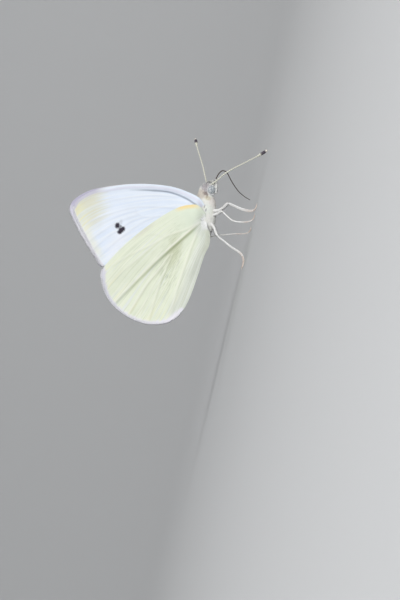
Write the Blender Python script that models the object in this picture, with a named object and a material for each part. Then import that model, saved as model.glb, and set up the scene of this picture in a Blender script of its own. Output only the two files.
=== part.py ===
"""A small white butterfly at rest, wings closed over its back, life size.

World units are metres; the sizes below are millimetres and every mesh is scaled by MM as it is
made. +X is forward, +Y is the butterfly's left, +Z is up, and the feet stand on z = 0. Places are
written about the butterfly's own mid-plane, y = 0, which MID_PLANE then sets beside the origin,
because the left antenna reaches further out than anything on the right.
"""
import bpy
import bmesh
from math import cos, exp, hypot, pi, radians, sin
from mathutils import Vector

MM = 0.001
MID_PLANE = -1.95          # y of the butterfly's mid-plane
GAP = 0.10                 # thin cut between neighbouring solids

# Wings: plates standing on edge, the forewings inside the hindwings
WING_THICK = 0.50
FOREWING_REST = 0.36       # half the distance between the two forewings' middle surfaces
HINDWING_REST = 1.03       # the same for the hindwings where they lie over the forewings
HINDWING_CLOSE = 0.56      # and where they lie below and behind the forewings
LEFT_REACH = 1.03          # the left forewing reaches a little past the right one, least at its rear
LEFT_LEAD = 0.2            # degrees by which it also leads forward
WING_CELLS = (14, 15)      # across and along each wing

# Legs and feelers
TUBE_SIDES = 8
FEMUR_R = 0.31
TIBIA_R = 0.26
TARSUS_R = 0.25
ANTENNA_R = 0.25
CLUB_R = 0.31
PROBOSCIS_R = 0.25
FOOT_Z = TARSUS_R * cos(pi / TUBE_SIDES)    # centre height that lays a tarsus flat on the floor

# Body stations from back to front: x, centre height, half width, half height
ABDOMEN = [(-7.7, 9.50, 0.30, 0.34), (-7.3, 9.42, 0.52, 0.56), (-6.4, 9.24, 0.78, 0.82),
           (-5.0, 8.98, 0.96, 1.00), (-3.0, 8.66, 1.10, 1.14), (-1.0, 8.48, 1.15, 1.20),
           (0.4, 8.60, 1.15, 1.28), (1.20, 8.72, 1.08, 1.32)]
THORAX = [(1.30, 8.76, 1.12, 1.38), (2.0, 8.85, 1.36, 1.80), (3.0, 9.05, 1.58, 2.12),
          (4.5, 9.30, 1.68, 2.25), (6.0, 9.50, 1.60, 2.10), (7.2, 9.70, 1.38, 1.86),
          (7.8, 9.80, 1.12, 1.50), (8.12, 9.74, 0.84, 1.06)]
HEAD = [(8.22, 9.50, 0.84, 0.92), (8.6, 9.44, 0.96, 1.03), (9.1, 9.38, 1.00, 1.05),
        (9.6, 9.30, 0.94, 0.95), (10.0, 9.20, 0.74, 0.74), (10.25, 9.14, 0.44, 0.44)]
EYE_CENTRE = (8.92, 0.78, 9.05)
EYE_RADII = (0.82, 0.54, 0.72)

# Wing edges in the wing's own plane: x, z, for the right wings
FOREWING = {
    "costa": [(5.3, 9.3), (6.7, 10.6), (7.4, 12.6), (7.85, 16.0), (7.5, 20.0),
              (6.5, 24.4), (5.0, 28.4), (3.5, 31.2), (1.5, 33.3), (-0.4, 34.0)],
    "margin": [(-0.4, 34.0), (-1.9, 33.2), (-4.0, 31.5), (-8.2, 27.8), (-9.9, 26.0)],
    "inner": [(4.4, 9.7), (0.6, 14.4), (-4.9, 20.4), (-9.0, 24.8), (-9.9, 26.0)],
}
HINDWING = {
    "costa": [(4.3, 9.2), (5.35, 10.5), (5.4, 11.9), (4.1, 14.7), (0.6, 18.4), (-4.2, 22.3),
              (-8.4, 24.9), (-10.7, 25.95)],
    "margin": [(-10.7, 25.95), (-13.0, 25.4), (-15.6, 23.8), (-17.5, 21.2), (-18.6, 17.9),
               (-18.65, 14.6), (-17.4, 11.4), (-14.9, 9.45)],
    "inner": [(1.9, 8.3), (0.6, 7.45), (-1.4, 7.15), (-3.6, 7.6), (-8.0, 8.0), (-12.2, 8.55),
              (-14.9, 9.45)],
}
HINDWING_ROOT = (2.8, 8.60)    # where the hindwing draws in to the thorax

# Limbs by points, hip to foot: x, distance out from the mid-plane, z
FORELEG = [(5.2, 0.7, 7.9), (5.5, 1.0, 6.8), (6.2, 1.5, 6.1), (7.1, 2.2, 5.4), (6.95, 2.6, 4.1),
           (6.7, 3.0, 2.8), (6.65, 3.2, 1.4), (6.9, 3.35, 0.5), (7.5, 3.5, FOOT_Z),
           (8.1, 3.6, FOOT_Z)]
MIDLEG_RIGHT = [(4.3, 0.8, 7.8), (4.8, 1.4, 6.95), (5.35, 2.0, 6.25), (4.7, 2.7, 5.1),
                (4.1, 3.3, 3.9), (4.1, 3.75, 2.6), (4.4, 4.1, 1.2), (4.9, 4.3, 0.4),
                (5.5, 4.4, FOOT_Z), (6.1, 4.5, FOOT_Z)]
MIDLEG_LEFT = [(4.2, 0.8, 7.7), (3.4, 1.7, 7.25), (1.9, 2.35, 7.4), (0.3, 2.75, 7.55),
               (0.8, 3.0, 6.3), (1.5, 3.4, 4.2), (1.95, 3.7, 2.8), (2.3, 3.95, 1.4),
               (2.7, 4.05, 0.5), (3.3, 4.15, FOOT_Z), (3.9, 4.25, FOOT_Z)]
HINDLEG = [(2.8, 0.8, 7.9), (2.1, 1.3, 7.0), (0.8, 2.0, 6.1), (0.0, 2.6, 4.6), (-0.8, 3.2, 2.9),
           (-1.35, 3.6, 1.4), (-1.95, 3.85, 0.55), (-2.9, 4.05, FOOT_Z), (-4.2, 4.25, FOOT_Z)]
ANTENNA_RIGHT = [(9.7, 0.40, 9.5), (10.2, 0.86, 9.1), (10.9, 1.18, 8.5), (13.0, 1.6, 6.8),
                 (15.4, 2.0, 4.0), (17.1, 2.3, 1.95), (18.55, 2.5, 0.45)]
ANTENNA_LEFT = [(9.6, 0.40, 9.5), (9.8, 0.70, 10.1), (11.2, 1.8, 10.8), (13.5, 3.6, 11.9),
                (15.8, 5.6, 13.2), (17.2, 7.1, 13.9), (18.3, 8.4, 14.4)]
PALP = [(8.45, 0.50, 8.20), (9.3, 0.55, 8.25), (10.2, 0.58, 8.42), (10.9, 0.56, 8.74)]
PROBOSCIS = [(9.6, 0.0, 8.95), (10.9, 0.0, 8.78), (12.2, 0.0, 8.45), (13.0, 0.0, 7.85),
             (12.75, 0.0, 6.9), (11.4, 0.0, 5.7), (10.0, 0.0, 4.2), (9.2, 0.0, 2.8),
             (8.75, 0.0, 1.5)]

RIGHT, LEFT = -1, 1


def smooth_step(low, high, value):
    """0 below low, 1 above high, eased between."""
    t = min(max((value - low) / (high - low), 0.0), 1.0)
    return t * t * (3 - 2 * t)


def curve_through(points, count, before=None, after=None):
    """Count points evenly spaced along a Catmull-Rom curve through the given points.

    before and after are the next points of the curves that it runs on from and into, if any.
    """
    knots = [Vector(p) for p in points]
    first = Vector(before) if before else knots[0] * 2 - knots[1]
    last = Vector(after) if after else knots[-1] * 2 - knots[-2]
    knots = [first] + knots + [last]
    fine = []
    for a, b, c, d in zip(knots, knots[1:], knots[2:], knots[3:]):
        for step in range(16):
            t = step / 16
            fine.append(0.5 * (2 * b + (c - a) * t + (2 * a - 5 * b + 4 * c - d) * t ** 2
                               + (3 * b - a - 3 * c + d) * t ** 3))
    fine.append(knots[-2])
    reach = [0.0]
    for a, b in zip(fine, fine[1:]):
        reach.append(reach[-1] + (b - a).length)
    even, k = [], 0
    for i in range(count):
        want = reach[-1] * i / (count - 1)
        while k < len(reach) - 2 and reach[k + 1] < want:
            k += 1
        span = reach[k + 1] - reach[k]
        even.append(fine[k].lerp(fine[k + 1], (want - reach[k]) / span))
    return even


def station_at(stations, x, column):
    """A body measure at x, between its stations, or 0 clear of the body's ends."""
    if x <= stations[0][0] or x >= stations[-1][0]:
        return 0.0
    for a, b in zip(stations, stations[1:]):
        if x <= b[0]:
            t = (x - a[0]) / (b[0] - a[0])
            return a[column] + (b[column] - a[column]) * t
    return 0.0


def body_width(x):
    """Half width of the trunk that the wings have to clear, eased across its stations."""
    reach = 1.0
    near = [x + reach * k / 4 for k in range(-4, 5)]
    trunk = ABDOMEN + THORAX
    return max(0.3, sum(station_at(trunk, v, 2) for v in near) / len(near))


def body_centre(x):
    """Height of the trunk's centre line, carried on level past its ends."""
    trunk = ABDOMEN + THORAX
    return station_at(trunk, min(max(x, trunk[0][0] + 0.01), trunk[-1][0] - 0.01), 1)


def beside(x):
    """How far out a wing's middle surface lies where it passes the widest part of the trunk."""
    return body_width(x) + WING_THICK / 2 + 0.27


def hug(x, z):
    """How closely a wing follows the trunk's side: 1 beside it, falling to 0 above it."""
    spread = 2.0 + 0.9 * smooth_step(0.0, 3.0, x)
    return exp(-((z - body_centre(x)) / spread) ** 2)


def forewing_y(x, z):
    """Middle surface of a forewing, out from the mid-plane."""
    rest = FOREWING_REST + 0.008 * max(z - 14, 0)
    return rest + (beside(x) - rest) * hug(x, z)


def hindwing_y(x, z):
    """Middle surface of a hindwing: over the forewing, then closing in behind and below it."""
    behind = (4.4 - x) * 0.755 + (9.7 - z) * 0.656
    rest = HINDWING_REST + 0.008 * max(z - 14, 0)
    rest -= (HINDWING_REST - HINDWING_CLOSE) * smooth_step(1.5, 6.0, behind)
    over = (WING_THICK + GAP + 0.08) * smooth_step(0.5, 2.6, x)
    y = rest + (beside(x) + over - rest) * hug(x, z)
    away = hypot(x - HINDWING_ROOT[0], z - HINDWING_ROOT[1])
    return y - (WING_THICK + GAP) * exp(-(away / 0.95) ** 2)


def wing_grid(edges):
    """Points across a wing between its four edges: rows run from the root to the outer margin."""
    across, along = WING_CELLS
    costa = curve_through(edges["costa"], along + 1, after=edges["margin"][1])
    inner = curve_through(edges["inner"], along + 1, after=edges["margin"][-2])
    margin = curve_through(edges["margin"], across + 1, edges["costa"][-2], edges["inner"][-2])
    root = [costa[0].lerp(inner[0], i / across) for i in range(across + 1)]
    grid = []
    for j in range(along + 1):
        v = j / along
        row = []
        for i in range(across + 1):
            u = i / across
            sides = costa[j].lerp(inner[j], u) + root[i].lerp(margin[i], v)
            corners = root[0].lerp(root[-1], u).lerp(margin[0].lerp(margin[-1], u), v)
            row.append(sides - corners)
        grid.append(row)
    return grid


def new_object(name, bm, colour, roughness, metallic=0.0, smooth_angle=40):
    """Turn a bmesh in millimetres into a named object in metres with its own material."""
    bmesh.ops.translate(bm, verts=bm.verts, vec=(0, MID_PLANE, 0))
    bmesh.ops.scale(bm, verts=bm.verts, vec=(MM, MM, MM))
    bmesh.ops.recalc_face_normals(bm, faces=bm.faces)
    mesh = bpy.data.meshes.new(name)
    bm.to_mesh(mesh)
    bm.free()
    mesh.shade_smooth()
    mesh.set_sharp_from_angle(angle=radians(smooth_angle))
    material = bpy.data.materials.new(name)
    material.use_nodes = True
    shader = material.node_tree.nodes["Principled BSDF"]
    shader.inputs["Base Color"].default_value = (*colour, 1)
    shader.inputs["Roughness"].default_value = roughness
    shader.inputs["Metallic"].default_value = metallic
    mesh.materials.append(material)
    piece = bpy.data.objects.new(name, mesh)
    bpy.context.scene.collection.objects.link(piece)
    return piece


def cutter(name, bm):
    """A guide that only cuts others: never built, drawn as wire."""
    guide = new_object(name, bm, (0.5, 0.5, 0.5), 0.5)
    guide.hide_render = True
    guide.display_type = "WIRE"
    return guide


def cut(piece, *guides):
    """Keep piece clear of each guide."""
    for guide in guides:
        boolean = piece.modifiers.new("clear of " + guide.name, "BOOLEAN")
        boolean.operation = "DIFFERENCE"
        boolean.solver = "EXACT"
        boolean.object = guide


def close_rings(bm, rings):
    """Faces between neighbouring rings of points, with both ends capped."""
    loops = [[bm.verts.new(p) for p in ring] for ring in rings]
    for a, b in zip(loops, loops[1:]):
        for i in range(len(a)):
            k = (i + 1) % len(a)
            bm.faces.new((a[i], a[k], b[k], b[i]))
    bm.faces.new(loops[0])
    bm.faces.new(loops[-1])


def trunk_mesh(stations, sides, rings, grow=0.0):
    """A round body through its stations, grown outwards for a cutter."""
    bm = bmesh.new()
    shaped = curve_through([(x, z, w, h) for x, z, w, h in stations], rings)
    loops = []
    for k, (x, z, w, h) in enumerate(shaped):
        x += grow * (2 * k / (rings - 1) - 1)
        turns = [2 * pi * i / sides for i in range(sides)]
        loops.append([(x, (w + grow) * cos(turn), z + (h + grow) * sin(turn)) for turn in turns])
    close_rings(bm, loops)
    return bm


def tube_mesh(points, radii, side, rings):
    """A tube from its far end back to its base, rounded at the far end and never under the floor."""
    path = curve_through([(x, side * y, z) for x, y, z in reversed(points)], rings)
    bm = bmesh.new()
    loops = []
    tangent = (path[1] - path[0]).normalized()
    up = Vector((0, 0, 1))
    up = (up - tangent * up.dot(tangent)).normalized()
    for k, centre in enumerate(path):
        ahead = path[min(k + 1, rings - 1)] - path[max(k - 1, 0)]
        turn = tangent.rotation_difference(ahead.normalized())
        tangent, up = ahead.normalized(), turn @ up
        out = tangent.cross(up)
        radius = radii(1 - k / (rings - 1))
        if k == 0:
            loops.append(tube_ring(centre - tangent * radius * 0.6, up, out, radius * 0.55))
        loops.append(tube_ring(centre, up, out, radius))
    close_rings(bm, loops)
    return bm


def tube_ring(centre, up, out, radius):
    """One ring of a tube, a flat facet downwards, held at or above the floor."""
    ring = []
    for i in range(TUBE_SIDES):
        turn = 2 * pi * (i + 0.5) / TUBE_SIDES
        point = centre + up * radius * cos(turn) + out * radius * sin(turn)
        ring.append((point.x, point.y, max(point.z, 0.0)))
    return ring


def leg_radius(t):
    """Radius of a leg at t, from 0 at the hip to 1 at the foot."""
    past_knee, past_ankle = smooth_step(0.25, 0.4, t), smooth_step(0.6, 0.7, t)
    return FEMUR_R + (TIBIA_R - FEMUR_R) * past_knee - (TIBIA_R - TARSUS_R) * past_ankle


def antenna_radius(t):
    """Even shaft, thickening to the club near the tip."""
    return ANTENNA_R + (CLUB_R - ANTENNA_R) * smooth_step(0.82, 0.9, t) * (1 - smooth_step(0.95, 1.0, t))


def palp_radius(t):
    """Full in the middle, drawn in to a blunt tip."""
    return 0.25 + 0.05 * sin(pi * min(t * 1.4, 1.0))


def make_wing(name, edges, surface, side, reach, lead, colour):
    """A closed plate, its middle surface given by surface(x, z), turned about its root by lead degrees."""
    grid = wing_grid(edges)
    rows, columns = len(grid), len(grid[0])
    hinge = (grid[0][0] + grid[0][-1]) / 2
    c, s = cos(radians(lead)), sin(radians(lead))
    bm = bmesh.new()
    faces_of = {}
    for half in (-0.5, 0.5):
        for j, row in enumerate(grid):
            for i, point in enumerate(row):
                tipward = 0.4 + 0.6 * min(max((point.y - 26.0) / 4.5, 0.0), 1.0)
                dx, dz = (point - hinge) * (1 + (reach - 1) * tipward)
                x, z = hinge.x + c * dx + s * dz, hinge.y + c * dz - s * dx
                y = side * (surface(x, z) + half * WING_THICK)
                faces_of[half, j, i] = bm.verts.new((x, y, z))
    for j in range(rows - 1):
        for i in range(columns - 1):
            for half in (-0.5, 0.5):
                corners = [(j, i), (j, i + 1), (j + 1, i + 1), (j + 1, i)]
                bm.faces.new([faces_of[half, a, b] for a, b in corners])
    rim = [(0, i) for i in range(columns)] + [(j, columns - 1) for j in range(1, rows)]
    rim += [(rows - 1, i) for i in range(columns - 2, -1, -1)] + [(j, 0) for j in range(rows - 2, 0, -1)]
    for a, b in zip(rim, rim[1:] + rim[:1]):
        bm.faces.new((faces_of[(-0.5, *a)], faces_of[(-0.5, *b)], faces_of[(0.5, *b)], faces_of[(0.5, *a)]))
    return new_object(name, bm, colour, 0.8)


def eye_mesh(side, grow=0.0):
    """An ellipsoid eye."""
    bm = bmesh.new()
    bmesh.ops.create_uvsphere(bm, u_segments=14, v_segments=9, radius=1.0)
    x, y, z = EYE_CENTRE
    bmesh.ops.scale(bm, verts=bm.verts, vec=[r + grow for r in EYE_RADII])
    bmesh.ops.translate(bm, verts=bm.verts, vec=(x, side * y, z))
    return bm


def build():
    for old in list(bpy.data.objects):
        bpy.data.objects.remove(old, do_unlink=True)

    thorax_guide = cutter("guide_thorax", trunk_mesh(THORAX, 20, 12, GAP))
    head_guide = cutter("guide_head", trunk_mesh(HEAD, 16, 9, GAP))

    new_object("abdomen", trunk_mesh(ABDOMEN, 18, 12), (0.62, 0.60, 0.52), 0.85)
    new_object("thorax", trunk_mesh(THORAX, 20, 12), (0.74, 0.73, 0.68), 0.9)
    head = new_object("head", trunk_mesh(HEAD, 16, 9), (0.70, 0.69, 0.66), 0.9)
    proboscis = new_object("proboscis", tube_mesh(PROBOSCIS, lambda t: PROBOSCIS_R, 1, 18),
                           (0.05, 0.04, 0.03), 0.4)
    cut(proboscis, head_guide)

    for side, word in ((RIGHT, "right"), (LEFT, "left")):
        eye_guide = cutter("guide_eye_" + word, eye_mesh(side, GAP))
        new_object("eye_" + word, eye_mesh(side), (0.45, 0.52, 0.46), 0.25)
        cut(head, eye_guide)
        palp = new_object("palp_" + word, tube_mesh(PALP, palp_radius, side, 8), (0.85, 0.85, 0.83), 0.8)
        cut(palp, head_guide, eye_guide)
        shaft = ANTENNA_RIGHT if side == RIGHT else ANTENNA_LEFT
        antenna = new_object("antenna_" + word, tube_mesh(shaft, antenna_radius, side, 16),
                             (0.30, 0.28, 0.26), 0.6)
        cut(antenna, head_guide, eye_guide)
        midleg = MIDLEG_RIGHT if side == RIGHT else MIDLEG_LEFT
        for name, points in (("foreleg_", FORELEG), ("midleg_", midleg), ("hindleg_", HINDLEG)):
            leg = new_object(name + word, tube_mesh(points, leg_radius, side, 17), (0.84, 0.84, 0.82), 0.6)
            cut(leg, thorax_guide)
        reach, lead = (1.0, 0.0) if side == RIGHT else (LEFT_REACH, LEFT_LEAD)
        make_wing("forewing_" + word, FOREWING, forewing_y, side, reach, lead, (0.86, 0.88, 0.90))
        make_wing("hindwing_" + word, HINDWING, hindwing_y, side, 1.0, 0.0, (0.84, 0.86, 0.70))


build()
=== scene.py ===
"""Looks of a small white butterfly at rest, wings closed over its back, life size.

The trunk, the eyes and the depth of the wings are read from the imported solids. The outlines of the
wings and the courses of legs, feelers, palps and tongue are those of their solids. Work is done in
millimetres about the butterfly's own mid-plane, and each mesh is set in metres about the origin when
it is finished. +X is forward, +Y is the butterfly's left and +Z is up; the feet stand on z = 0.
"""
from collections import namedtuple
from math import cos, pi, sin

import bmesh
import bpy
import numpy as np
from bpy.props import FloatProperty, FloatVectorProperty, PointerProperty
from bpy.types import Operator, Panel, PropertyGroup
from mathutils import Matrix, Vector
from mathutils.bvhtree import BVHTree
from mathutils.kdtree import KDTree


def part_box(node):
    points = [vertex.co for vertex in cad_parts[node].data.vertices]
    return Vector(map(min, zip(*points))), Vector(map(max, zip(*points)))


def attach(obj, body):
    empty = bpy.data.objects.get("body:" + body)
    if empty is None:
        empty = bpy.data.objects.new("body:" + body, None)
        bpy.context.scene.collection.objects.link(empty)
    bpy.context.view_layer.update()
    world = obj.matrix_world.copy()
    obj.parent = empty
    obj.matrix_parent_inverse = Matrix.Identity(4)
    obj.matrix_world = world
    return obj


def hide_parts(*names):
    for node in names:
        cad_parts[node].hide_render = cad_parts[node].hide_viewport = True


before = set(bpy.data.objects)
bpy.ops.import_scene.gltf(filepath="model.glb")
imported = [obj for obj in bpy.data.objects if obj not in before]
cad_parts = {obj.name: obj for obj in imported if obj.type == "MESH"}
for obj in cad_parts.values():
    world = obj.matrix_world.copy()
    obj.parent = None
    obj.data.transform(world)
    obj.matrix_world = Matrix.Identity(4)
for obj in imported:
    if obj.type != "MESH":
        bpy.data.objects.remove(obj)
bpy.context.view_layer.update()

bl_info = {
    "name": "Small white butterfly",
    "version": (1, 0, 0),
    "blender": (4, 5, 0),
    "location": "3D View > Sidebar > Butterfly",
    "description": "Dresses the solids of a resting white butterfly with wings, coat, eyes and feelers",
    "category": "Object",
}

MM = 0.001
RIGHT, LEFT = -1, 1
SIDES = ((RIGHT, "right"), (LEFT, "left"))
MID_PLANE = (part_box("eye_right")[0].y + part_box("eye_left")[1].y) / 2 / MM   # its y

# Wing edges in the wing's own plane, x and z, the same outline as the solids
FOREWING = {
    "costa": [(5.3, 9.3), (6.7, 10.6), (7.4, 12.6), (7.85, 16.0), (7.5, 20.0),
              (6.5, 24.4), (5.0, 28.4), (3.5, 31.2), (1.5, 33.3), (-0.4, 34.0)],
    "margin": [(-0.4, 34.0), (-1.9, 33.2), (-4.0, 31.5), (-8.2, 27.8), (-9.9, 26.0)],
    "inner": [(4.4, 9.7), (0.6, 14.4), (-4.9, 20.4), (-9.0, 24.8), (-9.9, 26.0)],
}
HINDWING = {
    "costa": [(4.3, 9.2), (5.35, 10.5), (5.4, 11.9), (4.1, 14.7), (0.6, 18.4), (-4.2, 22.3),
              (-8.4, 24.9), (-10.7, 25.95)],
    "margin": [(-10.7, 25.95), (-13.0, 25.4), (-15.6, 23.8), (-17.5, 21.2), (-18.6, 17.9),
               (-18.65, 14.6), (-17.4, 11.4), (-14.9, 9.45)],
    "inner": [(1.9, 8.3), (0.6, 7.45), (-1.4, 7.15), (-3.6, 7.6), (-8.0, 8.0), (-12.2, 8.55),
              (-14.9, 9.45)],
}
# Nicks in the hindwing's fringe: how far along it each is, and the share of the scales' length lost
HINDWING_NICKS = ((0.875, 0.6), (0.972, 0.8))
LEFT_REACH = 1.03          # the left forewing reaches a little past the right one, least at its rear
LEFT_LEAD = 0.2            # degrees by which it also leads forward

# Veins: points from base to margin, how high each stands as a share of the relief, and how dark the
# painted shade in the hollow beside it is
FOREWING_VEINS = [
    ([(6.2, 15.6), (5.4, 20.3), (4.1, 24.2), (2.5, 27.8), (0.7, 30.5), (-1.2, 32.6)], 0.5, 0.4),
    ([(4.9, 11.6), (4.6, 13.4), (4.0, 16.0), (3.3, 19.8), (2.5, 22.7), (0.9, 25.9), (-0.7, 28.6),
      (-2.9, 31.6)], 0.6, 0.5),
    ([(2.0, 22.0), (0.9, 24.3), (-0.5, 26.3), (-2.4, 28.6), (-4.5, 30.7)], 0.5, 0.4),
    ([(1.4, 21.5), (0.3, 23.4), (-1.1, 25.4), (-3.1, 27.5), (-5.6, 29.6)], 0.6, 0.5),
    ([(1.1, 20.8), (-0.3, 22.8), (-2.3, 24.7), (-4.3, 26.6), (-6.9, 28.5)], 0.6, 0.5),
    ([(1.4, 18.9), (-0.2, 20.9), (-2.7, 23.1), (-5.3, 25.2), (-8.3, 27.2)], 0.6, 0.5),
    ([(2.5, 22.5), (1.6, 22.1), (1.1, 20.8)], 0.4, 0.5),
    ([(4.4, 11.1), (3.3, 13.9), (2.3, 16.6), (1.4, 19.3), (1.1, 20.8)], 0.6, 0.6),
]
HINDWING_VEINS = [
    ([(2.4, 9.9), (1.4, 10.7), (-5.7, 15.8), (-15.2, 21.8), (-16.2, 22.3)], 1.5, 2.4),
    ([(2.2, 10.2), (0.5, 12.3), (-1.3, 15.2), (-3.5, 17.6), (-6.2, 21.1), (-9.2, 24.3)], 0.7, 0.5),
    ([(-2.6, 16.7), (-6.3, 19.4), (-9.5, 21.8), (-12.9, 24.0)], 0.5, 0.4),
    ([(-1.8, 16.0), (-1.6, 17.7), (-2.2, 19.4)], 0.2, 0.3),
    ([(-5.0, 14.2), (-8.0, 15.4), (-11.6, 17.2), (-17.3, 19.1)], 0.9, 0.8),
    ([(-5.3, 14.0), (-9.5, 15.3), (-13.0, 16.3), (-17.4, 17.0)], 0.3, 0.3),
    ([(-4.6, 13.6), (-8.0, 14.3), (-11.6, 14.8), (-17.8, 15.2)], 0.7, 0.6),
    ([(1.9, 9.7), (-2.2, 10.4), (-6.0, 10.8), (-11.9, 11.3), (-16.0, 11.3)], 1.0, 0.9),
    ([(2.1, 9.2), (-1.8, 9.0), (-5.2, 9.2), (-9.1, 9.5), (-12.8, 10.0)], 0.6, 0.5),
]
HOLLOW_TO_VEIN = (0.55, 0.83)    # the way, x and z, from the shaded hollow beside a vein to the vein
COSTAL_GROOVE = [(5.5, 11.3), (6.3, 13.6), (6.7, 16.7), (6.2, 20.4), (5.4, 24.2)]

# The forewing's spot: ovals by their middle x and z and their radii, parted by a vein
FOREWING_SPOT = [(-1.66, 24.95, 0.54, 0.44), (-2.36, 24.08, 0.50, 0.52), (-2.04, 23.78, 0.42, 0.42),
                 (-2.76, 24.24, 0.42, 0.44)]
# Haze round the spot: ovals as above, with how dark each is
SPOT_HAZE = [(-1.85, 24.45, 0.46, 0.44, 0.70), (-0.95, 24.45, 0.60, 0.30, 0.15)]

# Legs by points, hip to foot: x, distance out from the mid-plane, z, as in the solids. The knee and
# the ankle are the numbers of the points where the femur and the tibia end.
SOLE = 0.231               # centre height of a solid foot
LEGS = {
    "foreleg_right": {"knee": 3, "ankle": 7, "points": [
        (5.2, 0.7, 7.9), (5.5, 1.0, 6.8), (6.2, 1.5, 6.1), (7.1, 2.2, 5.4), (6.95, 2.6, 4.1),
        (6.7, 3.0, 2.8), (6.65, 3.2, 1.4), (6.9, 3.35, 0.5), (7.5, 3.5, SOLE), (8.1, 3.6, SOLE)]},
    "midleg_right": {"knee": 2, "ankle": 7, "points": [
        (4.3, 0.8, 7.8), (4.8, 1.4, 6.95), (5.35, 2.0, 6.25), (4.7, 2.7, 5.1), (4.1, 3.3, 3.9),
        (4.1, 3.75, 2.6), (4.4, 4.1, 1.2), (4.9, 4.3, 0.4), (5.5, 4.4, SOLE), (6.1, 4.5, SOLE)]},
    "midleg_left": {"knee": 3, "ankle": 8, "points": [
        (4.2, 0.8, 7.7), (3.4, 1.7, 7.25), (1.9, 2.35, 7.4), (0.3, 2.75, 7.55), (0.8, 3.0, 6.3),
        (1.5, 3.4, 4.2), (1.95, 3.7, 2.8), (2.3, 3.95, 1.4), (2.7, 4.05, 0.5), (3.3, 4.15, SOLE),
        (3.9, 4.25, SOLE)]},
    "hindleg_right": {"knee": 2, "ankle": 6, "points": [
        (2.8, 0.8, 7.9), (2.1, 1.3, 7.0), (0.8, 2.0, 6.1), (0.0, 2.6, 4.6), (-0.8, 3.2, 2.9),
        (-1.35, 3.6, 1.4), (-1.95, 3.85, 0.55), (-2.9, 4.05, SOLE), (-4.2, 4.25, SOLE)]},
}
LEGS["foreleg_left"] = LEGS["foreleg_right"]
LEGS["hindleg_left"] = LEGS["hindleg_right"]
FEELERS = {
    "right": [(9.7, 0.40, 9.5), (10.2, 0.86, 9.1), (10.9, 1.18, 8.5), (13.0, 1.6, 6.8),
              (15.4, 2.0, 4.0), (17.1, 2.3, 1.95), (18.55, 2.5, 0.45)],
    "left": [(9.6, 0.40, 9.5), (9.8, 0.70, 10.1), (11.2, 1.8, 10.8), (13.5, 3.6, 11.9),
             (15.8, 5.6, 13.2), (17.2, 7.1, 13.9), (18.3, 8.4, 14.4)],
}
FEELER_RINGS, TONGUE_RINGS = 30, 110
PALP = [(8.45, 0.50, 8.20), (9.3, 0.55, 8.25), (10.2, 0.58, 8.42), (10.9, 0.56, 8.74)]
TONGUE = [(9.6, 0.0, 8.95), (10.9, 0.0, 8.78), (12.2, 0.0, 8.45), (13.0, 0.0, 7.85),
          (12.75, 0.0, 6.9), (11.4, 0.0, 5.7), (10.0, 0.0, 4.2), (9.2, 0.0, 2.8), (8.75, 0.0, 1.5)]

# The camera stands square to the butterfly's right side, its top towards the butterfly's head. Its
# place is in millimetres.
CAMERA_PLACE = (-11.9, -451.95, 6.5)
CAMERA_UP = (0.974, 0.0, 0.225)
CAMERA_BACK = (0.0, -1.0, 0.0)

RANDOM = np.random.default_rng(7)


# ---------------------------------------------------------------------------------------------
# Settings

def tint(name, description, default):
    return FloatVectorProperty(name=name, description=description, default=default, size=3,
                               min=0.0, max=1.0, subtype="COLOR_GAMMA")


def length(name, description, millimetres):
    return FloatProperty(name=name, description=description, default=millimetres * MM, min=0.0,
                         precision=6, subtype="DISTANCE", unit="LENGTH")


class BUTTERFLY_PG_wings(PropertyGroup):
    membrane: length("Membrane", "Thickness of a wing between its two coats of scales", 0.07)
    fringe: length("Fringe", "Length of the scales that fringe the outer margin", 0.42)
    relief: length("Vein relief", "How far an ordinary vein stands out of the membrane", 0.035)
    forewing: tint("Forewing", "Colour of the forewing's underside", (0.905, 0.943, 0.998))
    apex: tint("Apex", "Colour of the forewing's tip below", (0.885, 0.880, 0.790))
    hindwing: tint("Hindwing", "Colour of the hindwing's underside", (0.932, 0.955, 0.868))
    border: tint("Border", "Colour of the margin and the fringe", (0.945, 0.940, 0.965))
    spot: tint("Spot", "Colour of the forewing's spot", (0.13, 0.08, 0.17))
    upper: tint("Upper side", "Colour of the wings' upper sides", (0.92, 0.92, 0.94))
    tip: tint("Tip", "Colour of the forewing's tip above and of its edge below", (0.775, 0.76, 0.84))


class BUTTERFLY_PG_body(PropertyGroup):
    cream: tint("Cream", "Colour of the thorax and abdomen", (0.985, 0.985, 0.965))
    grey: tint("Grey", "Colour of the crown", (0.80, 0.77, 0.79))
    brown: tint("Brown", "Colour of the patch behind the eye", (0.60, 0.54, 0.52))
    thorax_hair: length("Thorax hair", "Length of the hair on the thorax", 0.85)
    head_hair: length("Head hair", "Length of the hair on the head", 0.50)
    abdomen_hair: length("Abdomen scales", "Length of the scales on the abdomen", 0.34)
    density: FloatProperty(name="Density", description="Share of the full coat that is grown",
                           default=1.0, min=0.05, max=1.5, subtype="FACTOR")


class BUTTERFLY_PG_head(PropertyGroup):
    eye: tint("Eye", "Colour of the compound eyes", (0.86, 0.88, 0.89))
    eye_dark: tint("Eye spots", "Colour of the dark spots in the eyes", (0.58, 0.62, 0.66))
    feeler: tint("Feeler", "Dark colour of the feelers' bands", (0.80, 0.80, 0.73))
    feeler_pale: tint("Feeler bands", "Pale colour of the feelers' bands", (0.98, 0.98, 0.93))
    tongue: tint("Tongue", "Colour of the proboscis", (0.20, 0.15, 0.12))


class BUTTERFLY_PG_legs(PropertyGroup):
    white: tint("White", "Colour of the scaled upper leg", (0.975, 0.975, 0.97))
    beige: tint("Beige", "Colour of the bare foot", (0.86, 0.80, 0.76))
    femur: length("Femur radius", "Radius of the femur under its hair", 0.22)
    fuzz: length("Femur hair", "Length of the hair on the femur", 0.42)
    tibia: length("Tibia radius", "Radius of the tibia", 0.125)
    tarsus: length("Tarsus radius", "Radius of the foot's five joints", 0.105)


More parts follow.
